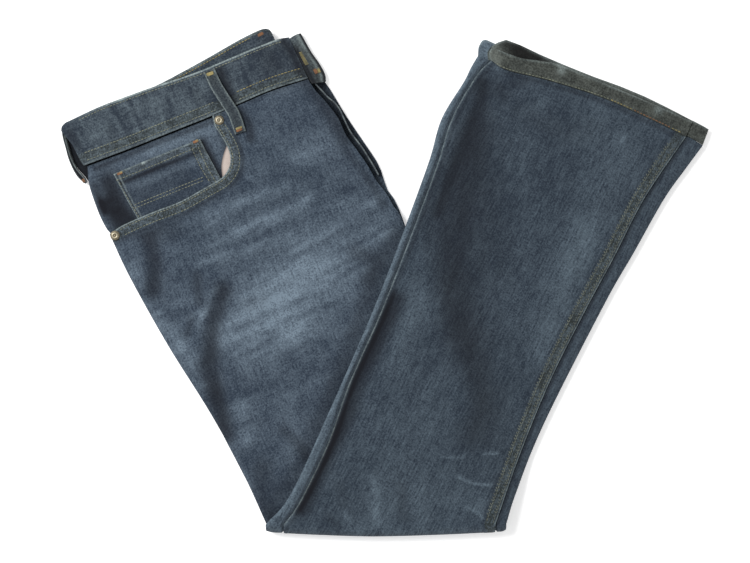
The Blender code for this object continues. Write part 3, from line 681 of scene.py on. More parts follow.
def capsules(name, pairs):
    """One mesh of short rounded threads, each between two points."""
    shares = np.array([0.0, 0.16, 0.5, 0.84, 1.0])[:, None, None]
    reach = np.array([0.35, 0.9, 1.0, 0.9, 0.35])[:, None, None]
    count, sides = len(shares), 6
    turns = np.linspace(0, TAU, sides, endpoint=False)[:, None]
    start, end = (np.array(pairs)[:, side, None, None] for side in (0, 1))
    ahead = (end - start) / np.linalg.norm(end - start, axis=-1, keepdims=True)
    side = np.cross((0.0, 0.0, 1.0), ahead)
    side /= np.linalg.norm(side, axis=-1, keepdims=True)
    width, height = THREAD_WIDTH * MM / 2, THREAD_HEIGHT * MM / 2
    round_ = side * np.cos(turns) * width + np.cross(ahead, side) * np.sin(turns) * height
    points = (start + (end - start) * shares + round_ * reach).reshape(-1, 3)
    faces = [face for first in range(0, len(points), count * sides) for face in rings(count, sides, first)]
    return build(name, points, faces)


def stitches(points, surface, start=0.0, end=1.0, lift=0.12):
    """Threads along a curve of the lay, on a surface given by its height, as pairs of points."""
    line = spline(points, 24)
    total = lengths(line)[-1]
    count = max(1, int(total * (end - start) / STITCH_PITCH))
    middles = total * start + (np.arange(count) + 0.5) * STITCH_PITCH
    where = middles[:, None] + np.array([-0.5, 0.5]) * STITCH_LENGTH
    x, y = on_line(line, where)
    x, y = x + STITCH_WANDER * np.sin(where * 1.7), y + STITCH_WANDER * np.cos(where * 1.3)
    return list(at(np.stack([x, y], axis=-1), surface(x, y) + lift))


def offset(points, away):
    """A curve beside another one: `away` to the left of its direction, as points of the lay."""
    line = spline(points, 8)
    ahead = np.gradient(line, axis=0)
    side = np.stack([ahead[:, 1], -ahead[:, 0]], axis=1)
    side /= np.linalg.norm(side, axis=1)[:, None]
    return (line + side * away)[::4]


def rungs(first, second, surface, lift=0.12):
    """Slanting threads across a seam, from one curve to the next, like the rungs of a ladder."""
    first, second = spline(first, 24), spline(second, 24)
    total = lengths(first)[-1]
    step = np.arange(2, int(total / STITCH_PITCH) - 4)
    ends = []
    for line, slant in ((first, 0.0), (second, 1.3)):
        where = (step * STITCH_PITCH + slant + 0.5 * np.sin(step * 2.3)) / total * lengths(line)[-1]
        x, y = on_line(line, where)
        ends.append(at(np.stack([x, y], axis=-1), surface(x, y) + lift))
    return list(np.stack(ends, axis=1))


def tack(centre, angle, length, surface, lift=0.1, width=2.6, threads=5):
    """A bar tack: threads side by side, as pairs of points."""
    angle = math.radians(angle)
    ahead = np.array([math.cos(angle), math.sin(angle)]) * length / 2
    side = np.array([-math.sin(angle), math.cos(angle)]) * width
    middles = np.array(centre) + np.linspace(-0.5, 0.5, threads)[:, None] * side
    level = surface(*np.array(centre)[:, None])[0] + lift
    return list(at(np.stack([middles - ahead, middles + ahead], axis=1), level))


# Materials ---------------------------------------------------------------------------------------


class Nodes:
    """A small helper for one material's nodes."""

    def __init__(self, name):
        self.material = bpy.data.materials.new(name)
        self.material.use_nodes = True
        self.tree = self.material.node_tree

    def fill(self, node, inputs):
        """Sets or links a node's inputs."""
        for key, source in inputs.items():
            if isinstance(source, (int, float, tuple)):
                node.inputs[key].default_value = source
            else:
                self.tree.links.new(source, node.inputs[key])
        return node

    def add(self, kind, inputs, **settings):
        node = self.tree.nodes.new(kind)
        for key, value in settings.items():
            setattr(node, key, value)
        return self.fill(node, inputs)

    def uv(self):
        return self.add("ShaderNodeUVMap", {}, uv_map="cloth").outputs[0]

    def place(self):
        return self.add("ShaderNodeTexCoord", {}).outputs["Object"]

    def value(self, name):
        return self.add("ShaderNodeAttribute", {}, attribute_name=name).outputs["Fac"]

    def sum(self, operation, *terms, clamp=False):
        inputs = dict(enumerate(terms))
        return self.add("ShaderNodeMath", inputs, operation=operation, use_clamp=clamp).outputs[0]

    def mix(self, share, first, second):
        inputs = {"Factor": share, "A": first, "B": second}
        return self.add("ShaderNodeMix", inputs, data_type="RGBA").outputs["Result"]

    def stretch(self, vector, scale, turn=0.0):
        inputs = {"Vector": vector, "Scale": scale, "Rotation": (0, 0, math.radians(turn))}
        return self.add("ShaderNodeMapping", inputs).outputs[0]

    def noise(self, vector, scale, detail, rough=0.6):
        inputs = {"Vector": vector, "Scale": scale, "Detail": detail, "Roughness": rough}
        return self.add("ShaderNodeTexNoise", inputs).outputs["Fac"]

    def spread(self, reach, *noise):
        """A noise as a number from about -reach to reach."""
        return self.sum("MULTIPLY_ADD", self.noise(*noise), 4 * reach, -2 * reach)

    def bump(self, height, strength, distance, **more):
        inputs = {"Strength": strength, "Distance": distance, "Height": height, **more}
        return self.add("ShaderNodeBump", inputs).outputs[0]

    def cover(self, colour, rough, **more):
        """Gives the shader its inputs, with an underscore for each space of a name."""
        inputs = {key.replace("_", " "): value for key, value in more.items()}
        self.fill(self.tree.nodes["Principled BSDF"], {"Base Color": colour, "Roughness": rough, **inputs})
        return self.material


def rgb(*screen):
    """A linear colour from one of the screen, 0 to 255."""
    values = (value / 255 for value in screen)
    return (*(v / 12.92 if v <= 0.04045 else ((v + 0.055) / 1.055) ** 2.4 for v in values), 1.0)


PALE = rgb(150, 163, 162)
# The dark that painted shade turns the denim towards.
PAINTED_SHADE = rgb(17, 20, 28)
OLIVE = rgb(42, 47, 44)


def denim(name, base, worn, deep=PAINTED_SHADE, olive=OLIVE, speckle=1.0, streak=0.8):
    """Twill denim: worn by the point masks and darkened by the painted shade in them, with slubs along the
    warp and a fine grain.
    """
    made = Nodes(name)
    uv = made.uv()
    cloud = made.spread(0.16, uv, 60, 4.0)
    spots = made.spread(0.16 * speckle, uv, 190, 3.0)
    slub = made.spread(0.22 * streak, made.stretch(uv, (1, 0.10, 1)), 560, 3.0)
    fleck = made.spread(0.42 * speckle, uv, 560, 2.0, 0.7)
    uneven = made.sum("ADD", made.sum("ADD", cloud, spots), made.sum("ADD", slub, fleck))
    rubbed = made.sum("MULTIPLY_ADD", made.value("wear"), 1.1, 0.45)
    wear = made.sum("MULTIPLY_ADD", uneven, rubbed, made.value("wear"), clamp=True)
    # The shade mask paints shade into the colour, towards the deep colour; the olive seams darken with it.
    shade = made.sum("MULTIPLY_ADD", cloud, 0.6, made.value("shade"), clamp=True)
    colour = made.mix(shade, made.mix(wear, base, worn), deep)
    seam_olive_and_shade = made.mix(made.sum("MULTIPLY_ADD", uneven, 1.1, 0.16, clamp=True), olive, worn)
    seam_olive_and_shade = made.mix(made.sum("MULTIPLY", shade, 0.8), seam_olive_and_shade, deep)
    colour = made.mix(made.sum("ADD", made.value("olive"), 0.0, clamp=True), colour, seam_olive_and_shade)
    rub = made.sum("MULTIPLY", made.value("pale"), made.sum("MULTIPLY_ADD", uneven, 1.6, 0.85), clamp=True)
    waves = {
        "Vector": made.stretch(uv, (1, 1, 1), 27), "Scale": 260, "Distortion": 1.5, "Detail": 1.0,
        "Detail Scale": 3.0,
    }
    twill = made.add("ShaderNodeTexWave", waves, wave_type="BANDS", bands_direction="X", wave_profile="SIN")
    weave = made.bump(made.sum("MULTIPLY_ADD", twill.outputs["Fac"], 0.5, fleck), 0.55, 0.0004)
    return made.cover(
        made.mix(rub, colour, PALE), 0.92, Specular_IOR_Level=0.18, Sheen_Weight=0.08, Sheen_Roughness=0.6,
        Normal=made.bump(made.noise(uv, 90, 3.0), 0.35, 0.0012, Normal=weave),
    )


def lining(name):
    """Cream cotton of the pocket bag."""
    made = Nodes(name)
    uv = made.uv()
    share = made.sum("ADD", 0.5, made.spread(0.3, uv, 120, 3.0), clamp=True)
    colour = made.mix(share, rgb(176, 162, 154), rgb(204, 192, 184))
    # The shade mask paints shade onto the cotton, towards a dark brown.
    colour = made.mix(made.value("shade"), colour, rgb(70, 60, 58))
    return made.cover(colour, 0.95, Normal=made.bump(made.noise(uv, 900, 2.0), 0.3, 0.0003))


def thread(name, main, worn):
    """Sewing thread, with small turns of its ply and uneven colour."""
    made = Nodes(name)
    place = made.place()
    share = made.sum("ADD", 0.5, made.spread(0.8, place, 130, 2.0), clamp=True)
    normal = made.bump(made.noise(place, 2600, 1.0), 0.4, 0.0002)
    return made.cover(made.mix(share, main, worn), 0.7, Normal=normal)


def brass(name):
    """Aged brass: clear on its edges, brown in its hollows."""
    made = Nodes(name)
    place = made.place()
    tarnish = made.sum("ADD", made.value("shade"), made.spread(0.3, place, 700, 3.0), clamp=True)
    return made.cover(
        made.mix(tarnish, rgb(176, 168, 146), rgb(92, 82, 64)), made.sum("MULTIPLY_ADD", tarnish, 0.25, 0.42),
        Metallic=0.85, Normal=made.bump(made.noise(place, 1500, 2.0), 0.15, 0.0002),
    )


THIGH = denim("denim_thigh", rgb(40, 51, 65), rgb(120, 136, 150))
LEG = denim("denim_leg", rgb(36, 46, 58), rgb(108, 124, 136), speckle=0.9, streak=1.2)
BAND = denim("denim_band", rgb(38, 47, 58), rgb(112, 126, 134), PAINTED_SHADE, rgb(44, 49, 45), 1.1, 0.9)
HEM = denim("denim_hem", rgb(37, 42, 42), rgb(120, 126, 120), rgb(12, 12, 13), rgb(44, 47, 43), 0.75, 0.5)
# A darker denim that stands for shade: the hidden layers and the fly's sides show only in shadowed gaps.
INNER = denim("denim_inner_painted_shade", rgb(26, 32, 42), rgb(84, 94, 104), rgb(9, 10, 14), speckle=0.9)
LOOP = denim("denim_loop", rgb(40, 48, 56), rgb(122, 134, 136), PAINTED_SHADE, rgb(54, 58, 50))
LINING = lining("cotton_lining")
BRASS = brass("aged_brass")
THREADS = {
    "olive": thread("thread_olive", rgb(128, 131, 112), rgb(92, 97, 86)),
    "yellow": thread("thread_yellow", rgb(158, 144, 92), rgb(112, 106, 72)),
    "rust": thread("thread_rust", rgb(140, 92, 56), rgb(104, 76, 54)),
    "grey": thread("thread_grey", rgb(108, 113, 102), rgb(76, 82, 78)),
}


# Cloth -------------------------------------------------------------------------------------------


def dress(piece, cloth, slot, *nodes):
    """Gives a piece its material and hides the CAD nodes that it stands for; slot is not used."""
    piece.data.materials.append(cloth)
    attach(piece, "root")
    if nodes:
        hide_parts(*nodes)


def sew(name, upper, lower, masks, warp, cloth, slot, node):
    """One piece of cloth between its two faces."""
    dress(shell(name + "_cloth", upper, lower, masks, warp), cloth, slot, node)


def plain(x, wear=0.2, shade=0.0, olive=0.0, pale=0.0):
    """The four masks of a cloth, in the order of MASKS, each with one value all over."""
    return np.array([np.zeros(np.shape(x)) + value for value in (wear, shade, olive, pale)])


def deepen(shade):
    """Lets shades add up without running into black."""
    return 0.9 * (1 - np.exp(-shade))


def thigh_masks(points):
    """Wear and painted shade of the thigh's outside, with the dark olive double edge of the pocket mouth."""
    x, y = lay_of(points)
    wear, shade, olive, pale = masks = plain(x)
    streaks = mottle(x, y, 9, 46, -24, 3) + 0.6 * mottle(x, y, 5, 22, -30, 8)
    wear += strokes(THIGH_WEAR, x, y) * (0.78 + 0.5 * streaks) + 0.05 * streaks - 0.04
    wear += 0.05 * mottle(x, y, 14, 20, 60, 5)
    shade += deepen(strokes(THIGH_SHADE, x, y) * (1.5 + 0.3 * mottle(x, y, 12, 20, 70, 6)))
    mouth = near(SCOOP, x, y)
    olive += 0.8 * smooth((10.6 - mouth) / 1.2)
    pale += 0.60 * bell(mouth - 0.5, 0.7)
    # Painted shade under the scoop's raised edge.
    shade += 0.30 * bell(mouth - 12.2, 1.8)
    wear += 0.12 * bell(x - x_at(THIGH_SIDE, y), 3.0) * smooth((y - 236) / 20)
    return masks


def leg_masks(points):
    """Wear and painted shade of the lower leg, with its pale outseam and the olive felled inseam."""
    x, y = lay_of(points)
    wear, shade, olive, pale = masks = plain(x, 0.16)
    wear += strokes(LEG_WEAR, x, y) + 0.05 * mottle(x, y, 7, 40, 112, 11)
    wear += 0.05 * mottle(x, y, 18, 26, 112, 12) + 0.10 * smooth((y - 523) / 8)
    shade += deepen(strokes(LEG_SHADE, x, y) * (1.4 + 0.3 * mottle(x, y, 10, 24, 110, 13)))
    outseam, inseam = near(OUTSEAM, x, y), near(INSEAM, x, y)
    pale += 0.40 * (0.75 + 0.25 * ripple(x, y, 30, 0.4)) * bell(outseam - 0.5, 0.7)
    olive += 0.85 * smooth(11.6 - inseam) * smooth(inseam - 1.4)
    pale += 0.55 * bell(inseam - 0.4, 0.6)
    # Painted shade beside the outseam's ridge and along the felled inseam's edge.
    shade += 0.34 * bell(outseam - 4.5, 2.6) + 0.22 * bell(inseam - 12.6, 1.4)
    return masks


def strip_masks(points):
    """The left back's strips beside both seams: light and rubbed at the outseam, plain at the inseam, with
    painted shade beside both seams.
    """
    x, y = lay_of(points)
    wear, shade, _, _ = masks = plain(x, 0.25)
    left = x < x_at(OUTSEAM, y) + 4
    wear += np.where(left, 0.12 + 0.20 * bell(near(LEG_LEFT, x, y) - 1.0, 1.8), 0.0)
    # Painted shade: a contact shadow beside the outseam's step and a dark band beside the inseam.
    outer, inner = 0.50 * bell(near(OUTSEAM, x, y) - 2.4, 1.1), 0.62 * bell(near(INSEAM, x, y) - 2.0, 1.8)
    shade += np.where(left, outer, inner + 0.10)
    return masks


def outer_leg(rows, shares):
    """The places between the lower leg's two seams, from the bottom fold to the hem's seam."""
    return patch(OUTSEAM, INSEAM, OUTER_FOLD, HEM_SEAM, rows, shares)


def left_front():
    shares = fine(110)
    top = [UNDER_LEFT[0], (130, 151), (170, 135), (215, 117), (270, 93), (308, 81.5), UNDER_RIGHT[0]]
    thigh = patch(UNDER_LEFT, UNDER_RIGHT, top, OUTER_FOLD, THIGH_ROWS, shares)
    leg = outer_leg(LEG_ROWS, shares)
    rim = np.minimum(shares, 1 - shares)
    curl = UNDER_CURL * (1 - smooth(rim / 0.02))[None] * np.ones((len(thigh), 1))
    curl[-1] = 0
    rise = leg_puff(*xy(leg)) + leg_relief(*xy(leg))
    grids = []
    for depth, drop in ((0.0, 0.35 * (1 - smooth(rim / 0.006))), (CLOTH, 0.0)):
        fold = round_fold(thigh[-1], leg[0], np.full(len(rim), depth), depth - rise[0])
        grids.append(np.concatenate([at(thigh, curl + depth), fold, turned_over(leg, depth + drop - rise)]))
    masks = leg_masks(grids[0])
    x, y = lay_of(grids[0][:len(thigh)])
    # Where this cloth's thigh part shows beside the fly, it is painted dark as shade.
    masks[:, :len(thigh)] = plain(x, 0.2, 0.55 * smooth((x - 298) / 6) * smooth((186 - y) / 10))
    sew("left_front", *grids, masks, 26, LEG, "denim", "left_front")


def leg_back_places(rows, shares):
    """The left back's places on the lower leg, and each column's depth below the left front's face."""
    leg = outer_leg(rows, shares)
    under = CLOTH + SEAM_GAP
    strips = np.array([1.0, 0.985, 0.95, 0.88, 0.78, 0.66, 0.52, 0.38, 0.24, 0.12, 0.0])
    levels = [*(0.4 + 2.2 * strips**3.2), under]
    sides = []
    for side, seam, step in ((LEG_LEFT, leg[:, :1], -1), (LEG_RIGHT, leg[:, -1:], 1)):
        start = seam + (2.4 * step, 0)
        strip = start + (along(side, rows)[:, None] - start) * strips[:, None]
        sides.append(np.concatenate([strip, seam + (0.9 * step, 0)], axis=1))
    places = np.concatenate([sides[0], leg[:, 1:-1], sides[1][:, ::-1]], axis=1)
    return places, np.array(levels + [under] * (leg.shape[1] - 2) + levels[::-1])


def left_back():
    places, depths = leg_back_places(LEG_ROWS, fine(70))
    x, y = xy(places)
    wave = 0.25 * ripple(x, y, 38, 0.7) * (depths < 1.2)
    rise = leg_puff(x, y) + leg_folds(x, y) + wave * smooth((FOLD_LINE[0][1] - y) / 20)
    grids = []
    for depth in (depths, depths + CLOTH - 0.1):
        fold = round_fold(places[0], places[0], depth, depth)
        grids.append(np.concatenate([fold, turned_over(places, depth - rise)]))
    sew("left_back", *grids, strip_masks(grids[0]), 26, LEG, "denim", "left_back")


def lower_leg_places(inset, rows, shares):
    """The places of the layers under the left back, which stop short of the lower leg's sides."""
    places = outer_leg(rows, shares)
    places[:, 0] = along(LOWER_LEFT, rows) + (inset, 0)
    places[:, -1] = along(LEG_RIGHT, rows) - (inset + 4.0, 0)
    places[-1, :, 1] += HEM_CLEARANCE
    return places


def round_both(thigh, last, leg, first):
    """One face over the thigh, round the bottom fold and over the lower leg."""
    fold = round_fold(thigh[-1], leg[0], last[-1], first[0])
    return np.concatenate([at(thigh, last), fold, turned_over(leg, first)])


def right_front():
    shares = fine(125, 0.5)
    left = np.vstack([along(SCOOP, 95), along(THIGH_SIDE[4:], 165)[1:]])
    start = [SCOOP[0], (240, 105), (270, 92), RIGHT_FLY[0]]
    thigh = patch(left, RIGHT_FLY, start, FOLD_LINE, len(left), shares)
    rough = lower_leg_places(0.0, 50, SHARES)
    leg = np.array([np.stack([np.interp(shares, SHARES, line) for line in row.T], axis=-1) for row in rough])
    surface, curl = thigh_top(*xy(thigh)), leg_curl(*xy(leg))
    grids = [round_both(thigh, surface - depth, leg, STACK - curl - depth) for depth in (0.0, CLOTH)]
    sew("right_front", *grids, thigh_masks(grids[0]), -22, THIGH, "denim", "right_front")


def pocket_share(x, y):
    """1 where the pocket's own pieces lie on the hidden layers, fading to 0 around them."""
    (x0, y0), (x1, y1) = WAIST_SEAM[0], WAIST_SEAM[-1]
    across, down = turned(x - POCKET_MIDDLE[0], y - POCKET_MIDDLE[1], math.atan2(y1 - y0, x1 - x0))
    reach = (across / POCKET_REACH[0]) ** 2 + (down / POCKET_REACH[1]) ** 2
    return 1 - smooth((reach - 1.5) / 0.6)


def with_rims(places, upper, lower):
    """Adds two rounded layers, with a groove between them, along both sides of a thick grid."""
    away = np.array([0.0, 1.3, 1.9, 1.3, 0.2, 0.12])
    level = np.array([0.82, 0.66, 0.45, 0.24, 0.12, 0.06])
    end = np.ones((len(places), 1))
    end[[0, -1]] = 0
    reach = away * end + 1.9 * (1 - end) * np.interp(1 - level, [0, 1], [0.2, 1])
    for column, side in ((slice(0, 1), -1), (slice(-1, None), 1)):
        rim = places[:, column] + reach[:, ::side, None] * (side, 0)
        middle = (upper[:, column] + lower[:, column]) / 2
        half = (upper[:, column] - lower[:, column]) / 2 * level[::side]
        grids = ((places, rim), (upper, middle + half), (lower, middle - half))
        places, upper, lower = (np.concatenate(pair[::side], axis=1) for pair in grids)
    return places, upper, lower


def hidden_layers():
    shares = fine(56, 0.5)
    end = [HIDDEN_LEFT[-1], *FOLD_LINE[1:4], HIDDEN_RIGHT[-1]]
    thigh = patch(HIDDEN_LEFT, HIDDEN_RIGHT, HIDDEN_TOP, end, HIDDEN_ROWS, shares)
    x, y = xy(thigh)
    waist, pocket = below_waist(x, y), pocket_share(x, y)
    high = thigh_surface(x, y) - CLOTH - HIDDEN_GAP - (2 * (LIGHT_CLOTH + SEAM_GAP) + 0.3) * pocket
    band_low = BACK_BAND_HEIGHT - HIDDEN_GAP
    high = band_low + (high - band_low) * smooth((waist - 5) / 20)
    high += np.minimum(thigh_relief(x, y) - 0.3, 0) * (1 - pocket)
    fold = smooth((y - 440) / 60)
    low = CLOTH + HIDDEN_GAP + CLOTH * fold + (BAND_THICK - CLOTH) * (1 - smooth((waist - 25) / 25))
    low[:, (0, -1)] += UNDER_CURL / 4 * (1 - fold[:, (0, -1)])
    thigh, *thigh_faces = with_rims(thigh, np.maximum(high, low + 0.6), low)
    leg = lower_leg_places(2.5, HIDDEN_ROWS, shares)
    x, y = xy(leg)
    puff = np.maximum(leg_puff(x, y) + np.minimum(leg_folds(x, y) - 0.3, 0), -1.0)
    leg, *leg_faces = with_rims(
        leg, STACK - CLOTH - HIDDEN_GAP - leg_curl(x, y), 2 * CLOTH + HIDDEN_GAP + 0.2 - puff
    )
    grids = [round_both(thigh, last, leg, first) for last, first in zip(thigh_faces, leg_faces)]
    # The hidden layers are seen only in the stack's gaps, and are painted dark all over as shade.
    sew("hidden_layers", *grids, plain(grids[0][..., 0], 0.1, 0.75), 0, INNER, "denim", "hidden_layers")


def band_places(rows, columns, inset=0.0):
    """The front waistband's places, from its top edge to just above the waist seam."""
    return patch(
        along(BAND_LEFT, rows) + (inset, 0), along(BAND_RIGHT, rows) - (inset, 0),
        along(WAIST_TOP, columns) + (0, inset), WAIST_SEAM, rows, columns,
    ) - (0, 0.5)


def band_height(x, y):
    """Top of the right waistband: soft, with a ridge at its lower edge and puckers at the stitches."""
    down = -below_waist(x, y)
    ridge = 0.35 * bell(down - 1.8, 1.8) + 0.25 * bell(down - 39, 2.0)
    groove = -0.25 * bell(down - 4.2, 1.0) - 0.25 * bell(down - 12.0, 1.0)
    pucker = 0.14 * np.sin(x * TAU / 6.5 + 0.4 * np.sin(x * 0.11)) * bell(down - 9, 6.0)
    soft = 0.35 * ripple(x, y, 42, 3.7) * smooth((down - 8) / 12) * smooth((40 - down) / 10)
    return BAND_TOP + ridge + groove + pucker + soft


def back_height(x, y):
    """Top of the back waistband's inner face, which turns over a little at its upper edge."""
    top = near(BACK_TOP, x, y)
    return BACK_BAND_HEIGHT + 2.4 + 0.9 * bell(top, 9.0) - 0.9 * bell(top, 0.8)


def front_bands():
    front = band_places(BAND_ROWS, 190)
    x, y = xy(front)
    across = np.linspace(0, 1, BAND_ROWS)[:, None]
    edge = 0.7 * (1 - smooth(across / 0.06)) + 0.5 * (1 - smooth((1 - across) / 0.05))
    upper = at(front, band_height(x, y) - edge)
    # Pale worn edges, an olive strip between the two lower rows of stitches, and painted shade from the
    # band's table, such as the belt loop's shadow.
    x, y = lay_of(upper)
    down = -below_waist(x, y)
    wear, shade, olive, pale = masks = plain(x, 0.16)
    pale += 0.75 * bell(near(WAIST_TOP, x, y) - 0.5, 0.6) * smooth((x - 70) / 50) * smooth((284 - x) / 8)
    pale += 0.55 * bell(near(WAIST_SEAM, x, y) - 1.1, 0.6)
    olive += 0.62 * smooth((12.8 - down) / 1.4) * smooth(down - 2.2)
    wear += 0.08 * bell(x - 168, 34) + 0.06 * bell(x - 95, 16)
    wear += 0.16 * mottle(x, y, 16, 4, -23, 21) + 0.08 * mottle(x, y, 9, 9, -23, 22)
    shade += strokes(BAND_SHADE, x, y)
    lower = at(front, BAND_TOP - BAND_THICK)
    sew("waistband_right", upper, lower, masks, 68, BAND, "denim_worn", "waistband_right")

    under = band_places(12, 60, 2.0)
    lower = at(under, 0.12 * (1 + ripple(*xy(under), 30, 0.2)))
    masks = plain(under[..., 0], 0.25)
    sew("waistband_left", at(under, BAND_THICK), lower, masks, 68, BAND, "denim_worn", "waistband_left")


def back_band():
    back = patch(
        [BACK_TOP[0], (99, 131), BACK_BOTTOM[0]], [BACK_TOP[-1], (278, 46), BACK_BOTTOM[-1]],
        BACK_TOP, BACK_BOTTOM, 30, 120,
    )
    x, y = xy(back)
    wear, shade, olive, pale = masks = plain(x, 0.12)
    top = near(BACK_TOP, x, y)
    wear += 0.25 * bell(top - 0.8, 0.9) + 0.12 * bell(top - 14, 5)
    olive += 0.6 * smooth((3.6 - top) / 1.2)
    # Painted shade towards the band's right end, where it turns down.
    shade += 0.30 * smooth((x - 250) / 16)
    pale += 0.45 * bell(top - 0.9, 0.8) * smooth((266 - x) / 8)
    faces = at(back, back_height(x, y)), at(back, BACK_BAND_HEIGHT)
    sew("waistband_back", *faces, masks, 68, BAND, "denim_olive", "waistband_back")


def end_height(turn):
    """Top of the left waistband's end: level at the fold and falling away to its right."""
    return 13.8 - 6.9 * turn**2


def end_fold(floor, bulge):
    """One face of the band's end below its fold: down to the floor and back to the left band."""
    right, left = along(END_RIGHT, END_ROWS), along(BAND_RIGHT, END_ROWS) + (0.6, 0)
    start = end_height(1.0) - (0 if bulge > 0 else 4.0)
    lift = np.linspace(0, 1, END_ROWS)[:, None] * (0, -1.1)
    columns = []
    for angle in np.linspace(0, math.pi, 9)[1:]:
        height = floor + (start - floor) * (1 + math.cos(angle)) / 2
        columns.append(at(right + (bulge * math.sin(angle), 0) + lift * angle / math.pi, height))
    for share in np.linspace(0, 1, 10)[1:]:
        columns.append(at(right + (left - right) * share + lift * (1 - 2.8 * share), floor))
    return np.stack(columns, axis=1)


def band_end():
    shares = fine(20, 0.4)
    start = [END_LEFT[0], (296, 34.5), END_RIGHT[0]]
    end = patch(END_LEFT, END_RIGHT, start, [END_LEFT[-1], END_RIGHT[-1]], END_ROWS, shares)
    under = np.array([6.0, 4.0, 2.2, 0.8])
    end = np.concatenate([end[:, :1] - under[:, None] * (1, 0), end], axis=1)
    turn = np.concatenate([-under / 12, shares]) * np.ones((END_ROWS, 1))
    height = end_height(turn) - 3.2 * smooth(-turn * 12 / 1.6)
    ragged = 0.35 * ripple(*xy(end), 14, 5.1)
    upper = at(end, height + ragged * smooth(turn / 0.2) * smooth((1 - turn) / 0.2))
    upper = np.concatenate([upper, end_fold(0.1, 0.8)], axis=1)
    lower = np.concatenate([at(end, height - 3.0 - turn), end_fold(1.6, -1.0)], axis=1)
    # The fold's columns wear as the end's last one does, but for their painted shade.
    added = upper.shape[1] - end.shape[1]
    end, turn, ragged = (
        np.concatenate([grid, np.repeat(grid[:, -1:], added, axis=1)], axis=1) for grid in (end, turn, ragged)
    )
    wear, shade, olive, pale = masks = plain(turn, 0.30)
    y = end[..., 1]
    down = smooth((y - 40) / 12)
    pale += (0.35 + 0.25 * ragged) * bell(turn - 0.62, 0.12) * (1.1 - down)
    pale += (0.40 + 0.35 * ragged) * bell(turn - 0.76, 0.07)
    olive += 0.30 * down
    # Painted shade: on the end's far side, in the groove at its left and down its middle, more so lower down.
    shade += 0.95 * smooth((turn - 0.84) / 0.08) + 0.95 * smooth((0.40 - turn) / 0.25) * down
    shade += (0.35 + 0.3 * smooth((y - 62) / 10)) * bell(turn - 0.5, 0.2) * down
    shade[:, 1 - added:] = 0.25
    sew("waistband_end", upper, lower, masks, 30, LOOP, "denim_worn", "waistband_left_end")


def sides_of(path, count):
    """A path's points and, at each, the direction across it, one millimetre long."""
    middle = along(path, count)
    ahead = np.gradient(middle, axis=0)
    side = np.stack([-ahead[:, 1], ahead[:, 0]], axis=1)
    return middle[:, None], (side / np.linalg.norm(side, axis=1)[:, None])[:, None]


def fly_edge():
    """A strip that stands on its edge along the fly, with a rounded upper edge."""
    count = 160
    middle, side = sides_of([(311.6, 78.4), *LEFT_FLY], count)
    share = np.linspace(0, 1, count)[:, None]
    heights = 10.4 - 2.4 * share + 0.7 * np.sin(share * 9 * math.pi) - 1.2 * (1 - smooth(share / 0.06))
    levels = np.array([0, 0.3, 0.6, 0.85, 0.93, 0.98, 1.0])
    reach = np.array([1, 1, 1, 1, 0.92, 0.7, 0.35])[:, None] * 0.75
    faces = [at(middle + sign * side * reach, 2.1 + (heights - 2.1) * levels) for sign in (1, -1)]
    _, shade, _, pale = masks = plain(heights * levels, 0.30)
    pale += 0.42 * (levels > 0.95) * (0.7 + 0.3 * np.sin(share * 60))
    # The strip's sides are painted dark as shade, below its pale worn top.
    shade += 0.95 * (levels < 0.9)
    sew("fly_edge", *faces, masks, None, INNER, "denim", "left_fly")


def loop_height(share):
    """Top of the front belt loop along its length, from 0 to 1."""
    bow = LOOP_BOW * np.sin(np.clip(share, 0, 1) * math.pi) ** 0.7
    return BAND_TOP + SEAM_GAP + LOOP_THICK + bow


def belt_loops():
    count = 90
    middle, side = sides_of(FRONT_LOOP, count)
    across = (fine(25, 0.5) - 0.5) * LOOP_WIDTH
    places = middle + side * across[:, None]
    share = np.linspace(0, 1, count)[:, None]
    from_edge = LOOP_WIDTH / 2 - np.abs(across)
    edge = 0.6 * (1 - smooth(from_edge / 1.2)) - 0.25 * bell(from_edge - 1.4, 0.9)
    top = loop_height(share) - edge - 0.2 * bell(across, 2.6)
    _, shade, olive, pale = masks = plain(top, 0.14)
    pale += 0.50 * bell(from_edge - 0.7, 0.6)
    olive += 0.4 * bell(share - 0.02, 0.12)
    shade += 0.35 * bell(across, 2.4)
    faces = at(places, top), at(places, loop_height(share) - LOOP_THICK)
    sew("belt_loop_front", *faces, masks, None, LOOP, "denim_worn", "belt_loop_front")

    start, end = [LOOP_OUTER[0], LOOP_INNER[0]], [LOOP_OUTER[-1], LOOP_INNER[-1]]
    side = patch(LOOP_OUTER, LOOP_INNER, start, end, 70, fine(13, 0.5))
    outer, inner = near(LOOP_OUTER, *xy(side)), near(LOOP_INNER, *xy(side))
    rim = np.minimum(outer, inner)
    top = SIDE_LOOP_TOP - 0.9 * (1 - smooth(rim / 0.8)) - 0.9 * smooth((rim - 0.8) / 0.8)
    # Painted shade in the side loop's hollow, between its pale rims.
    shade = 0.85 * smooth((rim - 0.5) / 0.5) + 0.35
    masks = plain(top, 0.2, shade, pale=0.30 * bell(outer - 0.4, 0.5) + 0.65 * bell(inner - 0.5, 0.5))
    sew("belt_loop_side", at(side, top), at(side, 3.0), masks, None, LOOP, "denim_worn", "belt_loop_side")


def pocket_surface(x, y):
    """Top of the pocket's own pieces, below the thigh's cloth."""
    return thigh_surface(x, y) - CLOTH - 0.5


def coin_height(x, y):
    """Top of the coin pocket, thicker at its hemmed mouth."""
    return pocket_surface(x, y) + 0.3 * smooth((9 - near(COIN_TOP, x, y)) / 1.5)


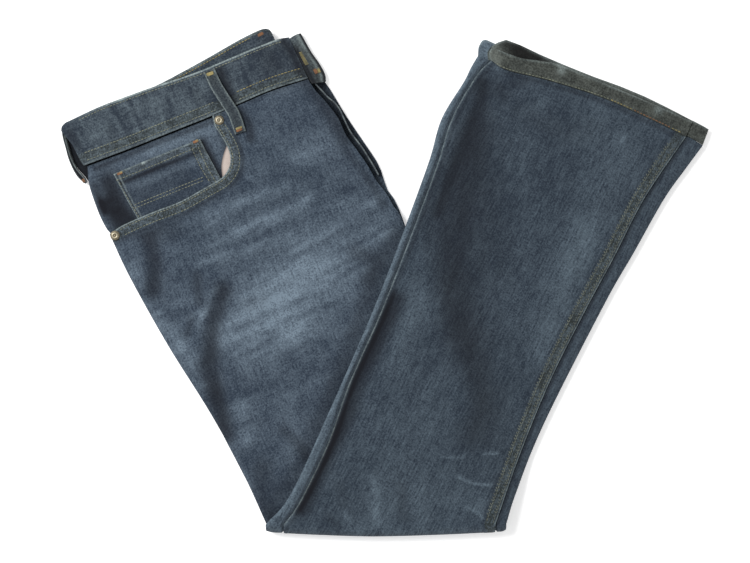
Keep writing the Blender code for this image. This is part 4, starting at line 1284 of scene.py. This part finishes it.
def pocket_pieces():
    facing = patch(FACING_LEFT, FACING_RIGHT, FACING_TOP, FACING_BOTTOM, 70, fine(120, 0.6))
    x, y = xy(facing)
    height = pocket_surface(x, y) - LIGHT_CLOTH - SEAM_GAP
    rubbed = bell(near([(150, 150), (190, 134), (212, 128)], x, y), 8)
    masks = plain(x, 0.26 + 0.20 * rubbed, strokes(FACING_SHADE, x, y))
    faces = at(facing, height), at(facing, height - LIGHT_CLOTH)
    sew("pocket_facing", *faces, masks, -20, THIGH, "denim", "pocket_facing")

    coin = patch(COIN_LEFT, COIN_RIGHT, COIN_TOP, COIN_BOTTOM, 60, 90)
    x, y = xy(coin)
    wear, shade, olive, pale = masks = plain(x, 0.12)
    hem, left, right = (near(line, x, y) for line in (COIN_TOP, COIN_LEFT, COIN_RIGHT))
    pale += 0.50 * bell(hem - 0.5, 0.7) + 0.60 * bell(left, 0.9) + 0.35 * bell(left - 4.2, 0.8)
    pale += 0.30 * bell(right - 0.6, 0.7) + 0.9 * bell(np.hypot(x - 143, y - 162.4), 2.0)
    wear += 0.10 * mottle(x, y, 9, 14, -23, 31) + 0.22 * bell(hem - 19, 4.0)
    wear += 0.20 * smooth((9.5 - hem) / 1.5) + 0.12 * smooth((12 - right) / 1.5)
    olive += 0.60 * smooth((9.5 - hem) / 1.2) + 0.75 * smooth((13 - right) / 2.5)
    # Painted shade beside the coin pocket's left edge, under its hemmed mouth and towards its right side.
    shade += 0.45 * bell(left - 2.2, 0.9) + 0.60 * bell(hem - 11.4, 2.2)
    shade += 0.25 * smooth((right - 14) / 20) + 0.25 * bell(right - 12.5, 1.5)
    upper = at(coin, coin_height(x, y) + 0.12 * ripple(x, y, 22, 4.4))
    lower = at(coin, pocket_surface(x, y) - LIGHT_CLOTH)
    sew("coin_pocket", upper, lower, masks, -22, THIGH, "denim_worn", "coin_pocket")

    start, end = [BAG_LEFT[0], BAG_RIGHT[0]], [BAG_LEFT[-1], BAG_RIGHT[-1]]
    bag = patch(BAG_LEFT, BAG_RIGHT, start, end, 24, 16)
    x, y = xy(bag)
    height = pocket_surface(x, y)
    # Painted shade along the lining's left edge, deep in the pocket mouth.
    masks = plain(x, 0.0, 0.8 * bell(near(BAG_LEFT, x, y), 1.2))
    sew("pocket_lining", at(bag, height), at(bag, height - 0.8), masks, None, LINING, "lining", "pocket_bag")


def hem_masks(points, line):
    """The hem is dark olive, with a pale rubbed edge in patches."""
    x, y = lay_of(points)
    wear, _, olive, pale = masks = plain(x, 0.20, 0.05, 0.55)
    patches = 0.5 + 0.5 * ripple(x, y, 34, 2.9)
    end = smooth((508 - x) / 12)
    wear += 0.16 * mottle(x, y, 10, 10, 24, 41) + 0.32 * end
    wear += 0.30 * patches * smooth((ripple(x, y, 11, 0.9) + 0.1) / 0.6)
    pale += 0.55 * bell(near(line, x, y), 1.3) * patches + 0.45 * end * bell(near(HEM_END, x, y), 1.0)
    pale += 0.5 * bell(np.hypot(x - 562, y - 70), 4.0) + 0.45 * bell(np.hypot(x - 659, y - 110), 4.0)
    olive -= 0.50 * end
    return masks


def hems():
    shares, rows = fine(150, 0.4), HEM_ROWS
    left, right = [*HEM_END[1:], HEM_FRONT_EDGE[0]], [HEM_SEAM[-1], HEM_FRONT_EDGE[-1]]
    front = patch(left, right, HEM_SEAM, HEM_FRONT_EDGE, rows, shares) - (0, 0.6)
    down = np.linspace(0, 1, rows)[:, None]
    x, y = xy(front)
    mouth = MOUTH_RISE * bell(x - 528, 20.0) * down
    edges = 0.5 * (1 - smooth(down / 0.08)) + 0.9 * (1 - smooth((1 - down) / 0.10))
    rope = 0.22 * np.sin(x * TAU / 9 + y * TAU / 14) * bell(down - 0.45, 0.3)
    upper = turned_over(front, -HEM_PROUD - mouth + edges - rope)
    lower, masks = turned_over(front, CLOTH - mouth), hem_masks(upper, HEM_FRONT_EDGE)
    sew("hem_front", upper, lower, masks, -64, HEM, "denim_olive", "hem_left_front")

    places, depths = leg_back_places(40, SHARES)
    start = places[-1, 10:]
    own = lengths(start) / lengths(start)[-1]
    left, right = [start[0], (488, 53), HEM_BACK_EDGE[0]], [start[-1], HEM_BACK_EDGE[-1]]
    back = patch(left, right, start, HEM_BACK_EDGE, rows, own) - (0, 0.6)
    depth = depths[10:] + 0.5 * down**4
    upper, lower = turned_over(back, depth), turned_over(back, depth + HEM_THICK - 0.3)
    wear, shade, _, _ = masks = hem_masks(upper, HEM_BACK_EDGE)
    # Painted shade in the back hem's open mouth: the shade mask rises and the wear falls where its inside
    # shows.
    inside = smooth((565 - back[..., 0]) / 20) * smooth((back[..., 0] - 503) / 5)
    shade += 1.1 * inside
    wear -= 0.2 * inside
    sew("hem_back", upper, lower, masks, -64, HEM, "denim_olive", "hem_left_back")

    left, right = ([HEM_RIGHT_SEAM[end], HEM_RIGHT_EDGE[end]] for end in (0, -1))
    other = patch(left, right, HEM_RIGHT_SEAM, HEM_RIGHT_EDGE, rows, 90)
    other[..., 1] += 3.5 * (1 - down)
    upper = turned_over(other, STACK - 4.0 + 0.7 * (1 - smooth((1 - down) / 0.12)))
    wear, _, olive, _ = masks = hem_masks(at(other, 0.0), HEM_RIGHT_EDGE)
    olive -= 0.3
    wear += 0.15
    sew("hem_right", upper, turned_over(other, STACK), masks, -64, LEG, "denim_worn", "hem_right")


def hem_top(x, y):
    """Height of the front hem's outer face, for its stitches."""
    return leg_floor(x, y) + STACK + HEM_PROUD


def rivets():
    """Caps turned from a profile: a flange, a rolled ring, a hollow and a point in its middle."""
    shares, heights = np.array([
        (1.0, 0.0), (1.0, 0.35), (0.965, 0.5), (0.90, 0.55), (0.80, 0.62), (0.74, 0.85), (0.68, 1.15),
        (0.60, 1.38), (0.52, 1.48), (0.44, 1.45), (0.37, 1.30), (0.31, 1.08), (0.24, 0.98), (0.16, 1.0),
        (0.11, 1.18), (0.05, 1.27),
    ]).T[:, :, None]
    sides = 48
    turns = np.linspace(0, TAU, sides, endpoint=False)
    hollow = np.where((shares > 0.10) & (shares < 0.37) | (shares > 0.78), 0.75, 0.12)
    for name, centre in RIVETS.items():
        reach = np.stack([np.cos(turns), np.sin(turns)], axis=1) * RIVET_RADIUS
        base = thigh_surface(*(centre + reach).T).max() + SEAM_GAP
        points = at(centre + reach * shares[..., None], base + heights).reshape(-1, 3)
        faces = rings(len(shares), sides, flipped=True)
        piece = build(name + "_cap", points, faces, masks={"shade": np.repeat(hollow, sides)})
        dress(piece, BRASS, "brass", name)


def sewing():
    """Stitch rows and bar tacks, one mesh for each colour of thread."""
    lower_row, upper_row, hem_row = offset(WAIST_SEAM, 4.2), offset(WAIST_SEAM, 12.0), offset(HEM_SEAM, 1.6)
    olive, yellow, rust, grey = [], [], [], []
    olive += stitches(lower_row, band_height, 0.02, 0.60) + stitches(lower_row, band_height, 0.70, 0.99)
    olive += stitches(upper_row, band_height, 0.02, 0.60)
    yellow += stitches(upper_row, band_height, 0.70, 0.99)
    olive += stitches(offset(WAIST_TOP, -3.0), band_height, 0.08, 0.98)
    yellow += stitches(offset(BACK_TOP, -3.4), back_height, 0.08, 0.90, 0.2)

    for away in (2.6, 9.4):
        olive += stitches(offset(SCOOP, away)[1:-1], thigh_top, 0.03, 0.985)
    for row in (
        [(116, 180.5), (156, 164.5), (196, 147.5)],
        [(198, 146.6), (207, 166.4), (217, 184)],
        [(192, 148.4), (201, 167.6), (211, 184)],
        [(119, 182), (131, 204), (140, 219)],
        [(134, 205), (170, 190.5), (205, 176.5)],
        [(134, 208.4), (170, 193.9), (205, 179.9)],
    ):
        olive += stitches(row, coin_height, lift=0.15)
    for away in (2.6, 9.4):
        grey += stitches(offset(INSEAM, away), leg_top, end=0.97, lift=0.15)
        grey += rungs(offset(INSEAM, away + 0.4), offset(INSEAM, away + 2.6), leg_top)
    for row, start, end in (
        (olive, 0.03, 0.60), (yellow, 0.60, 0.72), (rust, 0.72, 0.92), (yellow, 0.92, 0.98),
    ):
        row += stitches(hem_row, hem_top, start, end, 0.1)

    def level(height):
        return lambda x, y: np.array([height])

    for row, *details in (
        (yellow, (210.5, 74.5), -20, 7.5, level(loop_height(0.06)), 0.1, 2.4),
        (yellow, (239.4, 128.4), -22, 7.0, level(loop_height(0.93)), 0.1, 1.2, 3),
        (rust, (239.6, 130.6), -22, 6.4, level(loop_height(0.95)), 0.1, 1.4, 3),
        (rust, (119.6, 173.4), -22, 5.6, coin_height, 0.15, 1.6, 4),
        (yellow, (120.8, 172.4), -22, 3.2, coin_height, 0.2, 0.9, 2),
        (rust, (195.6, 141.6), -22, 5.6, coin_height, 0.15, 1.6, 4),
        (yellow, (196.8, 140.6), -22, 3.2, coin_height, 0.2, 0.9, 2),
        (rust, (260.4, 34.0), -28, 6.4, back_height, 0.2, 2.0, 4),
        (rust, (83.4, 180.6), 62, 4.0, level(SIDE_LOOP_TOP), 0.1, 2.0, 4),
        (rust, (315.6, 71.4), 62, 5.4, level(end_height(0.42)), 0.3, 2.4, 4),
        (yellow, (318.6, 70.4), 62, 5.0, level(end_height(0.62)), 0.3, 2.2, 4),
    ):
        row += tack(*details)

    steps, turns = np.linspace(0.34, 0.60, 12), np.array([0.14, 0.40])
    left, right = along(END_LEFT, steps)[:, None], along(END_RIGHT, steps)[:, None]
    yellow += list(at(left + (right - left) * turns[:, None], end_height(turns) + 0.25))

    for name, pairs in (("olive", olive), ("yellow", yellow), ("rust", rust), ("grey", grey)):
        dress(capsules("stitches_" + name, pairs), THREADS[name], "denim_olive")


def studio():
    """A pale floor, soft light from above and the left, and a camera straight above."""
    floor = Nodes("floor_paper")
    tone = floor.sum("MULTIPLY_ADD", floor.noise(floor.place(), 30, 3.0), 0.02, 0.5)
    paper = floor.cover(
        floor.mix(tone, (0.93, 0.93, 0.93, 1), (0.95, 0.95, 0.95, 1)), 1.0, Specular_IOR_Level=0.0,
        Emission_Color=(1.0, 1.0, 1.0, 1), Emission_Strength=0.4,
    )
    reach, drop = 4.0, 0.0004
    corners = np.array([(-1, -1, 0), (1, -1, 0), (1, 1, 0), (-1, 1, 0)]) * reach
    plane = build("floor", corners - (0, 0, drop), [(0, 1, 2, 3)])
    plane.data.materials.append(paper)

    world = bpy.data.worlds.new("studio")
    world.use_nodes = True
    background = world.node_tree.nodes["Background"].inputs
    background["Color"].default_value, background["Strength"].default_value = (1.0, 1.0, 1.0, 1), 0.44
    bpy.context.scene.world = world
    bpy.context.scene.view_settings.view_transform = "Standard"
    for name, power, size, spot in (
        ("key", 38.0, 0.8, (-1.25, 0.75, 1.6)),
        ("fill", 6.0, 2.0, (1.4, -0.8, 1.6)),
    ):
        light = bpy.data.lights.new(name, "AREA")
        light.energy, light.size = power, size
        lamp = link(name, light)
        lamp.location = x, y, z = spot
        lamp.rotation_euler = (0, math.atan2(math.hypot(x, y), z), math.atan2(y, x))

    camera = bpy.data.cameras.new("camera")
    camera.lens, camera.sensor_width = LENS, SENSOR
    eye = link("camera", camera)
    eye.location = at(np.array(FRAME_MIDDLE), CAMERA_HEIGHT)
    bpy.context.scene.camera = eye


def sheets():
    """Goes through a table of every piece of cloth: its flat width and length, how it lies, on what, and its
    flat area; it only makes the names below it into cloth names.
    """
    for name, size, held, below, area in (
        ("left_front", (0.290, 0.930), "folded", (), 0.209),
        ("left_back", (0.260, 0.500), "folded", ("right_front",), 0.110),
        ("right_front", (0.290, 0.930), "folded", ("hidden_layers",), 0.202),
        ("hidden_layers", (0.290, 0.970), "folded", ("left_front",), 0.223),
        ("waistband_right", (0.272, 0.044), "laid", ("hidden_layers",), None),
        ("waistband_left", (0.268, 0.044), "laid", (), None),
        ("waistband_back", (0.215, 0.041), "laid", ("hidden_layers",), None),
        ("waistband_end", (0.053, 0.048), "folded", ("waistband_right",), None),
        ("fly_edge", (0.115, 0.010), "folded", ("left_front",), None),
        ("belt_loop_front", (0.012, 0.070), "laid", ("waistband_right",), None),
        ("belt_loop_side", (0.012, 0.062), "folded", ("hidden_layers",), None),
        ("pocket_facing", (0.150, 0.110), "laid", ("hidden_layers",), 0.0133),
        ("coin_pocket", (0.095, 0.060), "laid", ("pocket_facing",), None),
        ("pocket_lining", (0.017, 0.034), "laid", ("pocket_facing",), None),
        ("hem_front", (0.213, 0.018), "laid", ("left_front",), None),
        ("hem_back", (0.235, 0.020), "laid", ("hem_right",), None),
        ("hem_right", (0.235, 0.016), "laid", (), None),
    ):
        below = tuple(under + "_cloth" for under in below)


studio()
left_front()
left_back()
right_front()
hidden_layers()
front_bands()
back_band()
band_end()
fly_edge()
belt_loops()
pocket_pieces()
hems()
rivets()
sewing()
sheets()
